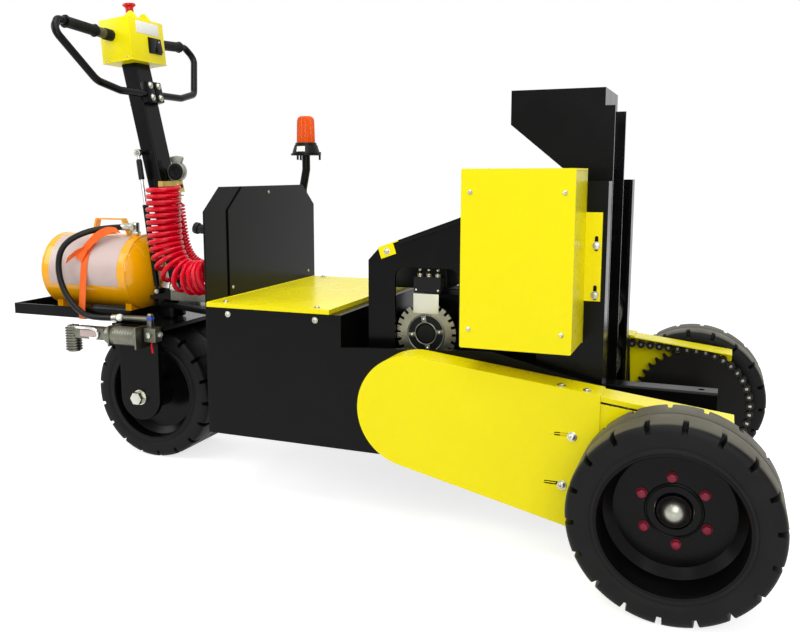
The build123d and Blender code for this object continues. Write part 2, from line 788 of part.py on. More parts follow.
# Frame side plates: from the battery box along the guards to the drive axle
with BuildPart() as frame_side_plates:
    with BuildSketch(Plane.XZ.offset(-FRAME_Y)):
        with BuildLine():
            Polyline(
                (frame_x(0), AXLE_Z - ARM_R),
                (frame_x(ARM_LOW_X), FRAME_LOW),
                (frame_x(BOX_FRONT), FRAME_LOW),
                (frame_x(BOX_FRONT), FRAME_TOP_BACK),
                (frame_x(FRAME_MID_X), FRAME_TOP_MID),
                (frame_x(MAST_FRONT), FRAME_FOOT_Z),
                (frame_x(ARM_TOP_X), ARM_TOP_Z),
                (frame_x(0), AXLE_Z + ARM_R),
            )
            ThreePointArc(
                (frame_x(0), AXLE_Z + ARM_R), (frame_x(-ARM_R), AXLE_Z), (frame_x(0), AXLE_Z - ARM_R)
            )
        make_face()
        with Locations((AXLE_X, AXLE_Z)):
            Circle(SHAFT_R + BEARING_CLEAR, mode=Mode.SUBTRACT)
        with Locations((DRIVER_X, DRIVER_Z)):
            Circle(OUTPUT_R + BEARING_CLEAR, mode=Mode.SUBTRACT)
    extrude(amount=FRAME_T)
    mirror(about=Plane.XZ)
keep(frame_side_plates, "frame_side_plates")

FRAME_IN = FRAME_Y - FRAME_T
# Cross members: belly plate, mast beam and the plate that carries the steering head
with BuildPart() as cross_members:
    with BuildSketch(Plane.XY.offset(FRAME_LOW)):
        with Locations((frame_x((BOX_FRONT + ARM_LOW_X) / 2), 0)):
            Rectangle(BOX_FRONT - ARM_LOW_X, 2 * FRAME_IN)
    extrude(amount=BELLY_T)
    with BuildSketch(Plane.XY.offset(FRAME_LOW)):
        with Locations((frame_x((MAST_FRONT + MAST_BACK) / 2), 0)):
            Rectangle(MAST_BACK - MAST_FRONT, 2 * FRAME_IN)
    extrude(amount=BEAM_H)
    with BuildSketch(Plane.XY.offset(FRAME_LOW + BELLY_T)):
        with Locations((frame_x((MAST_FRONT + MAST_BACK) / 2), 0)):
            Rectangle(MAST_BACK - MAST_FRONT - 2 * BELLY_T, 2 * FRAME_IN + OVERRUN)
    extrude(amount=BEAM_H - 2 * BELLY_T, mode=Mode.SUBTRACT)
    with BuildSketch(Plane.XY.offset(HEAD_PLATE_LOW)):
        with BuildLine():
            Polyline(
                (frame_x(BOX_BACK), -HEAD_PLATE_HALF * 2),
                (frame_x(BOX_BACK), HEAD_PLATE_HALF * 2),
                (STEER_X, HEAD_END),
            )
            ThreePointArc((STEER_X, HEAD_END), (STEER_X - HEAD_END, 0), (STEER_X, -HEAD_END))
            Line((STEER_X, -HEAD_END), (frame_x(BOX_BACK), -HEAD_PLATE_HALF * 2))
        make_face()
        with Locations((STEER_X, 0)):
            Circle(STEM_R + STEM_FIT, mode=Mode.SUBTRACT)
    extrude(amount=HEAD_PLATE_T)
    with BuildSketch(Plane.XY.offset(HEAD_LOW)):
        with Locations((STEER_X, 0)):
            Circle(HEAD_R)
            Circle(STEM_R + STEM_FIT, mode=Mode.SUBTRACT)
    extrude(amount=HEAD_PLATE_LOW - HEAD_LOW)
keep(cross_members, "cross_members")

# Wheel and output bearings, bolted to the outer faces of the frame plates
with BuildPart() as wheel_bearings:
    for centre, bore in (((AXLE_X, AXLE_Z), SHAFT_R), ((DRIVER_X, DRIVER_Z), OUTPUT_R)):
        with BuildSketch(Plane.XZ.offset(-FRAME_Y - BEARING_T)):
            with Locations(centre):
                RectangleRounded(2 * BEARING_R, 2 * BEARING_R, BEARING_R / 2)
                Circle(bore + BEARING_CLEAR / 5, mode=Mode.SUBTRACT)
        extrude(amount=BEARING_T)
    mirror(about=Plane.XZ)
keep(wheel_bearings, "wheel_bearings")

BOX_MID = frame_x((BOX_BACK + BOX_FRONT) / 2)
# Battery box: a welded sheet tub with a ledge along its front edge
with BuildPart() as battery_box:
    with BuildSketch(Plane.XY.offset(FRAME_LOW)):
        with Locations((BOX_MID, 0)):
            Rectangle(BOX_L, 2 * FRAME_Y)
    extrude(amount=BOX_TOP - FRAME_LOW)
    with BuildSketch(Plane.XY.offset(FRAME_LOW + SHEET)):
        with Locations((BOX_MID, 0)):
            Rectangle(BOX_L - 2 * SHEET, 2 * FRAME_Y - 2 * SHEET)
    extrude(amount=BOX_TOP - FRAME_LOW, mode=Mode.SUBTRACT)
    with BuildSketch(Plane.XY.offset(BOX_TOP - SHEET)):
        with Locations((frame_x(BOX_FRONT + LEDGE / 2), 0)):
            Rectangle(LEDGE, 2 * FRAME_Y)
    extrude(amount=SHEET)
keep(battery_box, "battery_box")

# Battery pack, one block on the tub's floor
with BuildPart() as battery_pack:
    with BuildSketch(Plane.XY.offset(FRAME_LOW + SHEET)):
        with Locations((BOX_MID, 0)):
            Rectangle(BATTERY_L, BATTERY_W)
    extrude(amount=BATTERY_H)
keep(battery_pack, "battery_pack")

# Battery cover: a yellow sheet lid with a folded front edge
with BuildPart() as battery_cover:
    with BuildSketch(Plane.XY.offset(BOX_TOP)):
        with Locations((frame_x((BOX_BACK + BOX_FRONT + LEDGE) / 2), 0)):
            Rectangle(BOX_L - LEDGE, 2 * FRAME_Y)
    extrude(amount=COVER_EDGE)
    with BuildSketch(Plane.XY.offset(BOX_TOP)):
        with Locations((frame_x((BOX_BACK + BOX_FRONT + LEDGE) / 2), 0)):
            Rectangle(BOX_L - LEDGE - 2 * COVER_T, 2 * FRAME_Y - 2 * COVER_T)
    extrude(amount=COVER_EDGE - COVER_T, mode=Mode.SUBTRACT)
keep(battery_cover, "battery_cover")

# Rear panel: an upright plate with clipped top corners behind the battery box
with BuildPart() as rear_panel:
    with BuildSketch(Plane.YZ.offset(frame_x(BOX_BACK) - PANEL_T)):
        with BuildLine():
            Polyline(
                (-PANEL_Y, FRAME_LOW),
                (PANEL_Y, FRAME_LOW),
                (PANEL_Y, PANEL_TOP - PANEL_CUT_Z),
                (PANEL_Y - PANEL_CUT_Y, PANEL_TOP),
                (-PANEL_Y + PANEL_CUT_Y, PANEL_TOP),
                (-PANEL_Y, PANEL_TOP - PANEL_CUT_Z),
                close=True,
            )
        make_face()
    extrude(amount=PANEL_T)
    with BuildSketch(Plane.XY.offset(HEAD_PLATE_LOW - SEAT_GAP)):
        with Locations((frame_x(BOX_BACK) - PANEL_T / 2, 0)):
            Rectangle(PANEL_T + OVERRUN, 4 * HEAD_PLATE_HALF + 2 * SEAT_GAP)
    extrude(amount=HEAD_PLATE_T + 2 * SEAT_GAP, mode=Mode.SUBTRACT)
keep(rear_panel, "rear_panel")

# Panel overlay: a second plate lapped on the panel's front, set in from one side
with BuildPart() as panel_overlay:
    with BuildSketch(Plane.YZ.offset(frame_x(BOX_BACK))):
        with BuildLine():
            Polyline(
                (-OVERLAY_Y, BOX_TOP + COVER_EDGE),
                (PANEL_Y, BOX_TOP + COVER_EDGE),
                (PANEL_Y, PANEL_TOP - PANEL_CUT_Z),
                (PANEL_Y - PANEL_CUT_Y, PANEL_TOP),
                (-OVERLAY_Y + PANEL_CUT_Y, PANEL_TOP),
                (-OVERLAY_Y, PANEL_TOP - PANEL_CUT_Z),
                close=True,
            )
        make_face()
    extrude(amount=OVERLAY_T)
keep(panel_overlay, "panel_overlay")

# Beacon mount: a bent post behind the panel with a round plate and a base
POST_X = frame_x(BOX_BACK) - PANEL_T - POST_R
TOP_X = frame_x(BOX_BACK + PANEL_T)
with BuildPart() as beacon_mount:
    with BuildLine() as post_path:
        FilletPolyline(
            (POST_X, BEACON_Y, POST_LOW),
            (POST_X, BEACON_Y, POST_BEND_LOW),
            (TOP_X, BEACON_Y, POST_BEND_TOP),
            (TOP_X, BEACON_Y, BEACON_LOW - BEACON_BASE_H - BEACON_PLATE_T),
            radius=POST_BEND_R,
        )
    with BuildSketch(Plane.XY.offset(POST_LOW)):
        with Locations((POST_X, BEACON_Y)):
            Circle(POST_R)
    sweep(path=post_path.wires()[0])
    with BuildSketch(Plane.XY.offset(BEACON_LOW - BEACON_BASE_H - BEACON_PLATE_T)):
        with Locations((TOP_X, BEACON_Y)):
            Circle(BEACON_PLATE_R)
    extrude(amount=BEACON_PLATE_T)
    with BuildSketch(Plane.XY.offset(BEACON_LOW - BEACON_BASE_H)):
        with Locations((TOP_X, BEACON_Y)):
            Circle(BEACON_BASE_R)
    extrude(amount=BEACON_BASE_H)
keep(beacon_mount, "beacon_mount")

# Beacon lens
with BuildPart() as beacon_lens:
    with BuildSketch(Plane.XY.offset(BEACON_LOW)):
        with Locations((TOP_X, BEACON_Y)):
            Circle(BEACON_R)
    extrude(amount=BEACON_TOP - BEACON_LOW)
    fillet(beacon_lens.faces().sort_by(Axis.Z)[-1].edges(), BEACON_R / 2)
keep(beacon_lens, "beacon_lens")

# Motor bay plates: sloped side plates that brace the mast, with a window for each motor
with BuildPart() as motor_bay_plates:
    with BuildSketch(Plane.XZ.offset(-BAY_Y)):
        with BuildLine():
            Polyline(
                (frame_x(BAY_BACK), FRAME_LOW + BELLY_T),
                (frame_x(BAY_BACK), BAY_CORNER_Z),
                (frame_x(BAY_SLOPE_X), BAY_SLOPE_Z),
                (frame_x(MAST_BACK), BAY_TOP_Z),
                (frame_x(MAST_BACK), FRAME_LOW + BELLY_T),
                close=True,
            )
        make_face()
        window_x = frame_x((BAY_WINDOW_BACK + BAY_WINDOW_FRONT) / 2)
        with Locations((window_x, (BAY_WINDOW_TOP + BAY_WINDOW_LOW) / 2)):
            RectangleRounded(
                BAY_WINDOW_BACK - BAY_WINDOW_FRONT, BAY_WINDOW_TOP - BAY_WINDOW_LOW, BAY_WINDOW_R, mode=Mode.SUBTRACT
            )
    extrude(amount=BAY_T)
    mirror(about=Plane.XZ)
keep(motor_bay_plates, "motor_bay_plates")

# Motor bay cover: yellow sheet on the slope with a tab folded down at each rear corner
SLOPE = atan2(BAY_TOP_Z - BAY_SLOPE_Z, BAY_SLOPE_X - MAST_BACK)
with BuildPart() as motor_bay_cover:
    with BuildSketch(Plane.XZ.offset(-BAY_Y - COVER_T)):
        with BuildLine():
            Polyline(
                (frame_x(BAY_SLOPE_X), BAY_SLOPE_Z),
                (frame_x(MAST_BACK), BAY_TOP_Z),
                (frame_x(MAST_BACK), BAY_TOP_Z + COVER_T / cos(SLOPE)),
                (frame_x(BAY_SLOPE_X), BAY_SLOPE_Z + COVER_T / cos(SLOPE)),
                close=True,
            )
        make_face()
    extrude(amount=2 * BAY_Y + 2 * COVER_T)
    for tab_y in (BAY_Y + COVER_T, -BAY_Y):
        with BuildSketch(Plane.XZ.offset(-tab_y)):
            with BuildLine():
                Polyline(
                    (frame_x(BAY_SLOPE_X), BAY_SLOPE_Z + COVER_T / cos(SLOPE)),
                    (
                        frame_x(BAY_SLOPE_X) + BAY_TAB_L * cos(SLOPE),
                        BAY_SLOPE_Z + BAY_TAB_L * sin(SLOPE) + COVER_T / cos(SLOPE),
                    ),
                    (
                        frame_x(BAY_SLOPE_X) + BAY_TAB_L * cos(SLOPE) + BAY_TAB_H * sin(SLOPE),
                        BAY_SLOPE_Z + BAY_TAB_L * sin(SLOPE) - BAY_TAB_H * cos(SLOPE),
                    ),
                    (frame_x(BAY_SLOPE_X) + BAY_TAB_H * sin(SLOPE), BAY_SLOPE_Z - BAY_TAB_H * cos(SLOPE)),
                    close=True,
                )
            make_face()
        extrude(amount=COVER_T)
keep(motor_bay_cover, "motor_bay_cover")

# Gearboxes: one case a side, motor above and output shaft below
with BuildPart() as gearboxes:
    with BuildSketch(Plane.XZ.offset(-GEARBOX_OUT_Y)):
        with Locations((frame_x((GEARBOX_BACK + GEARBOX_FRONT) / 2), (GEARBOX_LOW + GEARBOX_TOP) / 2)):
            RectangleRounded(GEARBOX_BACK - GEARBOX_FRONT, GEARBOX_TOP - GEARBOX_LOW, BAY_WINDOW_R)
    extrude(amount=GEARBOX_OUT_Y - GEARBOX_IN_Y)
    mirror(about=Plane.XZ)
keep(gearboxes, "gearboxes")

# Gearbox feet: a cross plate from side plate to side plate under the cases
with BuildPart() as gearbox_mount:
    with BuildSketch(Plane.XY.offset(GEARBOX_LOW - BELLY_T)):
        with Locations((frame_x((GEARBOX_BACK + GEARBOX_FRONT) / 2), 0)):
            Rectangle(GEARBOX_BACK - GEARBOX_FRONT, 2 * (BAY_Y - BAY_T))
    extrude(amount=BELLY_T)
keep(gearbox_mount, "gearbox_mount")

# Drive motors
with BuildPart() as drive_motors:
    with BuildSketch(Plane.XZ.offset(-MOTOR_OUT_Y)):
        with Locations((frame_x(MOTOR_X), MOTOR_Z)):
            Circle(MOTOR_R)
    extrude(amount=MOTOR_OUT_Y - GEARBOX_OUT_Y)
    mirror(about=Plane.XZ)
keep(drive_motors, "drive_motors")

# Motor brakes: a slotted-edge magnet ring with an open centre
with BuildPart() as motor_brakes:
    with BuildSketch(Plane.XZ.offset(-BRAKE_OUT_Y)):
        with Locations((frame_x(MOTOR_X), MOTOR_Z)):
            Circle(BRAKE_R)
            Circle(BRAKE_BORE_R, mode=Mode.SUBTRACT)
            with PolarLocations(BRAKE_R, BRAKE_SLOTS):
                Rectangle(2 * BRAKE_SLOT_D, BRAKE_SLOT_W, mode=Mode.SUBTRACT)
    extrude(amount=BRAKE_PLATE_T)
    with BuildSketch(Plane.XZ.offset(-BRAKE_OUT_Y + BRAKE_PLATE_T)):
        with Locations((frame_x(MOTOR_X), MOTOR_Z)):
            Circle(BRAKE_R - BRAKE_SLOT_D - BRAKE_GAP)
            Circle(BRAKE_BORE_R, mode=Mode.SUBTRACT)
    extrude(amount=BRAKE_OUT_Y - BRAKE_PLATE_T - MOTOR_OUT_Y)
    mirror(about=Plane.XZ)
keep(motor_brakes, "motor_brakes")

# Motor terminals: a block on a bracket above each brake, with cable studs
with BuildPart() as motor_terminals:
    block_y = BRAKE_OUT_Y - BRAKE_PLATE_T
    with BuildSketch(Plane.XZ.offset(-block_y)):
        with Locations((frame_x(MOTOR_X), TERMINAL_LOW + TERMINAL_H / 2)):
            RectangleRounded(TERMINAL_L, TERMINAL_H, STUD_R)
    extrude(amount=TERMINAL_T)
    with BuildSketch(Plane.XZ.offset(-block_y + TERMINAL_T)):
        with Locations((frame_x(MOTOR_X), (TERMINAL_LOW + TERMINAL_H + MOTOR_Z + MOTOR_R) / 2)):
            Rectangle(TERMINAL_L / 2, TERMINAL_LOW + TERMINAL_H - MOTOR_Z - MOTOR_R)
    extrude(amount=TERMINAL_LEG_T)
    with BuildSketch(Plane.XY.offset(TERMINAL_LOW + TERMINAL_H)):
        for place in (-1, 0, 1):
            with Locations((frame_x(MOTOR_X) + place * TERMINAL_L / 3, block_y - TERMINAL_T / 2)):
                Circle(STUD_R)
    extrude(amount=STUD_H)
    mirror(about=Plane.XZ)
keep(motor_terminals, "motor_terminals")

MAST_LOW = FRAME_LOW + BEAM_H
# Mast: two upright channels facing each other
with BuildPart() as mast_channels:
    with BuildSketch(Plane.XY.offset(MAST_LOW)):
        with BuildLine():
            Polyline(
                (frame_x(MAST_BACK), MAST_Y),
                (frame_x(MAST_FRONT), MAST_Y),
                (frame_x(MAST_FRONT), MAST_Y - MAST_FLANGE),
                (frame_x(MAST_FRONT + MAST_T), MAST_Y - MAST_FLANGE),
                (frame_x(MAST_FRONT + MAST_T), MAST_Y - MAST_T),
                (frame_x(MAST_BACK - MAST_T), MAST_Y - MAST_T),
                (frame_x(MAST_BACK - MAST_T), MAST_Y - MAST_FLANGE),
                (frame_x(MAST_BACK), MAST_Y - MAST_FLANGE),
                close=True,
            )
        make_face()
    extrude(amount=MAST_TOP - MAST_LOW)
    mirror(about=Plane.XZ)
keep(mast_channels, "mast_channels")

# Mast ties: two plates across the backs of the channels
with BuildPart() as mast_ties:
    for tie_low in (MAST_TOP - TIE_H, MAST_LOW + TIE_LOW_SHARE * (MAST_TOP - MAST_LOW)):
        with BuildSketch(Plane.XY.offset(tie_low)):
            with Locations((frame_x(MAST_BACK - MAST_T / 2), 0)):
                Rectangle(MAST_T, 2 * (MAST_Y - MAST_FLANGE - SEAT_GAP))
        extrude(amount=TIE_H)
keep(mast_ties, "mast_ties")

# Lift cylinder barrel, standing on the mast beam
with BuildPart() as lift_barrel:
    with BuildSketch(Plane.XY.offset(MAST_LOW)):
        with Locations((frame_x(CYL_X), 0)):
            Circle(CYL_R)
    extrude(amount=CYL_TOP - MAST_LOW)
    with BuildSketch(Plane.XY.offset(MAST_LOW + BELLY_T)):
        with Locations((frame_x(CYL_X), 0)):
            Circle(CYL_BORE_R)
    extrude(amount=CYL_TOP - MAST_LOW - BELLY_T - GLAND_H, mode=Mode.SUBTRACT)
    with BuildSketch(Plane.XY.offset(MAST_LOW + BELLY_T)):
        with Locations((frame_x(CYL_X), 0)):
            Circle(ROD_R + ROD_FIT)
    extrude(amount=CYL_TOP - MAST_LOW, mode=Mode.SUBTRACT)
keep(lift_barrel, "lift_barrel")

# Carriage: two side plates with a hood at the top, a front web and a crosshead
with BuildPart() as carriage_frame:
    for plate_y in (CAR_Y, -CAR_Y + CAR_T):
        with BuildSketch(Plane.XZ.offset(-plate_y)):
            with BuildLine():
                Polyline(
                    (frame_x(HOOD_BACK), HOOD_LOW),
                    (frame_x(HOOD_BACK), HOOD_TOP - HOOD_T),
                    (frame_x(HOOD_FRONT), HOOD_TOP - HOOD_T),
                    (frame_x(HOOD_FRONT), CAR_TOP),
                    (frame_x(CAR_FRONT), CAR_TOP),
                    (frame_x(CAR_FRONT), CAR_LOW),
                    (frame_x(CAR_BACK), CAR_LOW),
                    (frame_x(CAR_BACK), HOOD_UNDER_Z),
                    close=True,
                )
            make_face()
        extrude(amount=CAR_T)
    with BuildSketch(Plane.XY.offset(HOOD_TOP - HOOD_T)):
        with Locations((frame_x((HOOD_BACK + HOOD_FRONT) / 2), 0)):
            Rectangle(HOOD_BACK - HOOD_FRONT, 2 * CAR_Y)
    extrude(amount=HOOD_T)
    for web_mid, web_h in (
        (HOOD_TOP - HOOD_T - WEB_TOP_H / 2, WEB_TOP_H),
        (CAR_LOW + WEB_LOW_H / 2, WEB_LOW_H),
    ):
        with BuildSketch(Plane.YZ.offset(frame_x(HOOD_FRONT + WEB_T))):
            with Locations((0, web_mid)):
                Rectangle(2 * (CAR_Y - CAR_T), web_h)
        extrude(amount=WEB_T)
    with BuildSketch(Plane.XY.offset(CROSSHEAD_Z)):
        with Locations((frame_x((CAR_BACK + HOOD_FRONT) / 2), 0)):
            Rectangle(CAR_BACK - HOOD_FRONT, 2 * (CAR_Y - CAR_T))
    extrude(amount=CROSSHEAD_T)
keep(carriage_frame, "carriage_frame")

# Carriage rollers on their pins, running in the mast channels
ROLLER_X = frame_x((MAST_FRONT + MAST_BACK) / 2)
with BuildPart() as carriage_rollers:
    for roller_z in ROLLER_ZS:
        with BuildSketch(Plane.XZ.offset(-ROLLER_OUT_Y)):
            with Locations((ROLLER_X, roller_z)):
                Circle(ROLLER_R)
        extrude(amount=ROLLER_OUT_Y - ROLLER_IN_Y)
        with BuildSketch(Plane.XZ.offset(-ROLLER_IN_Y)):
            with Locations((ROLLER_X, roller_z)):
                Circle(ROLLER_PIN_R)
        extrude(amount=ROLLER_IN_Y - CAR_Y)
    mirror(about=Plane.XZ)
keep(carriage_rollers, "carriage_rollers")

# Lift rod, hung from the crosshead into the barrel
with BuildPart() as lift_rod:
    with BuildSketch(Plane.XY.offset(MAST_LOW + BELLY_T + GLAND_H)):
        with Locations((frame_x(CYL_X), 0)):
            Circle(ROD_R)
    extrude(amount=CROSSHEAD_Z - MAST_LOW - BELLY_T - GLAND_H)
keep(lift_rod, "lift_rod")

# Drawbar: a square receiver tube out of the carriage, with a pin hole at its end
with BuildPart() as drawbar:
    with BuildSketch(Plane.YZ.offset(frame_x(HOOD_FRONT))):
        with Locations((0, BAR_Z)):
            RectangleRounded(BAR, BAR, BAR_CORNER)
            RectangleRounded(BAR - 2 * BAR_WALL, BAR - 2 * BAR_WALL, BAR_CORNER / 2, mode=Mode.SUBTRACT)
    extrude(amount=HOOD_FRONT + BAR_END)
    with BuildSketch(Plane.XY.offset(BAR_Z - BAR)):
        with Locations((frame_x(-BAR_END + BAR_HOLE_BACK), 0)):
            Circle(BAR_HOLE_R)
    extrude(amount=2 * BAR, mode=Mode.SUBTRACT)
keep(drawbar, "drawbar")

# Pump bracket: back plate of the pump cover, with a slotted tab on the mast
with BuildPart() as pump_bracket:
    with BuildSketch(Plane.XZ.offset(MAST_Y)):
        with Locations((frame_x((PUMP_BACK + PUMP_FRONT) / 2), (PUMP_LOW + PUMP_TOP) / 2)):
            Rectangle(PUMP_BACK - PUMP_FRONT, PUMP_TOP - PUMP_LOW)
        with Locations((frame_x((PUMP_BACK + TAB_FRONT) / 2), (TAB_LOW + TAB_TOP) / 2)):
            Rectangle(PUMP_BACK - TAB_FRONT, TAB_TOP - TAB_LOW)
        for slot_z in SLOT_ZS:
            with Locations((frame_x(TAB_FRONT + SLOT_INSET), slot_z)):
                SlotOverall(SLOT_H, SLOT_W, rotation=90, mode=Mode.SUBTRACT)
    extrude(amount=BRACKET_T)
keep(pump_bracket, "pump_bracket")

# Pump cover: a folded yellow box open at the back, seated on the bracket
with BuildPart() as pump_cover:
    with BuildSketch(Plane.XZ.offset(MAST_Y + BRACKET_T)):
        with Locations((frame_x((PUMP_BACK + PUMP_FRONT) / 2), (PUMP_LOW + PUMP_TOP) / 2)):
            RectangleRounded(PUMP_BACK - PUMP_FRONT, PUMP_TOP - PUMP_LOW, PUMP_CORNER_R)
    extrude(amount=PUMP_DEPTH)
    with BuildSketch(Plane.XZ.offset(MAST_Y + BRACKET_T)):
        with Locations((frame_x((PUMP_BACK + PUMP_FRONT) / 2), (PUMP_LOW + PUMP_TOP) / 2)):
            Rectangle(PUMP_BACK - PUMP_FRONT - 2 * PUMP_SHEET, PUMP_TOP - PUMP_LOW - 2 * PUMP_SHEET)
    extrude(amount=PUMP_DEPTH - PUMP_SHEET, mode=Mode.SUBTRACT)
keep(pump_cover, "pump_cover")

# Pump unit, one block inside the cover
with BuildPart() as pump_unit:
    with BuildSketch(Plane.XZ.offset(MAST_Y + BRACKET_T)):
        with Locations((frame_x((PUMP_BACK + PUMP_FRONT) / 2), (PUMP_LOW + PUMP_TOP) / 2)):
            Rectangle(UNIT_L, UNIT_H)
    extrude(amount=UNIT_W)
keep(pump_unit, "pump_unit")

# Fork: crown plate and two rounded legs
with BuildPart() as fork:
    with BuildSketch(Plane.XY.offset(CROWN_LOW)):
        with Locations((STEER_X, 0)):
            Rectangle(2 * CROWN_HALF, 2 * LEG_Y)
    extrude(amount=CROWN_T)
    with BuildSketch(Plane.XZ.offset(-LEG_Y)):
        with BuildLine():
            Polyline(
                (STEER_X - LEG_HALF, AXLE_Z),
                (STEER_X - LEG_HALF, CROWN_LOW),
                (STEER_X + LEG_HALF, CROWN_LOW),
                (STEER_X + LEG_HALF, AXLE_Z),
            )
            ThreePointArc(
                (STEER_X + LEG_HALF, AXLE_Z), (STEER_X, AXLE_Z - LEG_HALF), (STEER_X - LEG_HALF, AXLE_Z)
            )
        make_face()
        with Locations((STEER_X, AXLE_Z)):
            Circle(AXLE_R + SEAT_GAP, mode=Mode.SUBTRACT)
    extrude(amount=LEG_T)
    mirror(about=Plane.XZ)
keep(fork, "fork")

# Rear axle: a bolt through the legs, with a washer and a hex nut each side
with BuildPart() as rear_axle:
    with BuildSketch(Plane.XZ.offset(-LEG_Y - WASHER_T - NUT_H)):
        with Locations((STEER_X, AXLE_Z)):
            Circle(AXLE_R)
    extrude(amount=2 * (LEG_Y + WASHER_T + NUT_H))
    with BuildSketch(Plane.XZ.offset(-LEG_Y - WASHER_T)):
        with Locations((STEER_X, AXLE_Z)):
            Circle(WASHER_R)
    extrude(amount=WASHER_T)
    with BuildSketch(Plane.XZ.offset(-LEG_Y - WASHER_T - NUT_H)):
        with Locations((STEER_X, AXLE_Z)):
            RegularPolygon(NUT_AF / 2, 6, major_radius=False)
    extrude(amount=NUT_H)
    mirror(about=Plane.XZ)
keep(rear_axle, "rear_axle")

# Rear tyre
with BuildPart() as rear_tyre:
    half = REAR_TYRE_W / 2
    with BuildSketch(Plane.YZ.offset(STEER_X)):
        with BuildLine():
            Polyline(
                (-half, AXLE_Z + RIM_R + SEAT_GAP),
                (half, AXLE_Z + RIM_R + SEAT_GAP),
                (half, AXLE_Z + TYRE_R - TYRE_SHOULDER),
                (half - TYRE_SHOULDER, AXLE_Z + TYRE_R),
                (TREAD_GROOVE_W / 2, AXLE_Z + TYRE_R),
                (0, AXLE_Z + TYRE_R - TREAD_GROOVE_D),
                (-TREAD_GROOVE_W / 2, AXLE_Z + TYRE_R),
                (-half + TYRE_SHOULDER, AXLE_Z + TYRE_R),
                (-half, AXLE_Z + TYRE_R - TYRE_SHOULDER),
                close=True,
            )
        make_face()
    revolve(axis=Axis((STEER_X, 0, AXLE_Z), (0, 1, 0)))
    for edge_y, turn_share in ((half, 0), (-half, 0.5)):
        turn = turn_share * 360 / NOTCH_COUNT
        with BuildSketch(Plane.XZ.offset(-edge_y)):
            with Locations((STEER_X, AXLE_Z)):
                with PolarLocations(TYRE_R, NOTCH_COUNT, start_angle=turn):
                    Rectangle(2 * NOTCH_DEPTH, NOTCH_W)
        extrude(amount=NOTCH_LENGTH, both=True, mode=Mode.SUBTRACT)
keep(rear_tyre, "rear_tyre")

# Rear rim: a flanged barrel with a disc each side and a bored hub
with BuildPart() as rear_rim:
    half = REAR_TYRE_W / 2
    barrel_r = RIM_R - RIM_WALL
    with BuildSketch(Plane.YZ.offset(STEER_X)):
        with BuildLine():
            Polyline(
                (-half, AXLE_Z + RIM_R - FLANGE_H),
                (-half + FLANGE_T, AXLE_Z + barrel_r),
                (-REAR_DISC_Y - DISH_RISE, AXLE_Z + barrel_r),
                (-REAR_DISC_Y, AXLE_Z + DISH_R),
                (-REAR_DISC_Y, AXLE_Z + HUB_R),
                (-half, AXLE_Z + HUB_R),
                (-half, AXLE_Z + AXLE_R + BEARING_CLEAR / 5),
                (half, AXLE_Z + AXLE_R + BEARING_CLEAR / 5),
                (half, AXLE_Z + HUB_R),
                (REAR_DISC_Y, AXLE_Z + HUB_R),
                (REAR_DISC_Y, AXLE_Z + DISH_R),
                (REAR_DISC_Y + DISH_RISE, AXLE_Z + barrel_r),
                (half - FLANGE_T, AXLE_Z + barrel_r),
                (half, AXLE_Z + RIM_R - FLANGE_H),
                (half, AXLE_Z + RIM_R),
                (-half, AXLE_Z + RIM_R),
                close=True,
            )
        make_face()
    revolve(axis=Axis((STEER_X, 0, AXLE_Z), (0, 1, 0)))
    with BuildSketch(Plane.YZ.offset(STEER_X)):
        with BuildLine():
            inner = REAR_DISC_Y - DISC_T
            Polyline(
                (-inner, AXLE_Z + HUB_R),
                (inner, AXLE_Z + HUB_R),
                (inner, AXLE_Z + barrel_r),
                (-inner, AXLE_Z + barrel_r),
                close=True,
            )
        make_face()
    revolve(axis=Axis((STEER_X, 0, AXLE_Z), (0, 1, 0)), mode=Mode.SUBTRACT)
keep(rear_rim, "rear_rim")

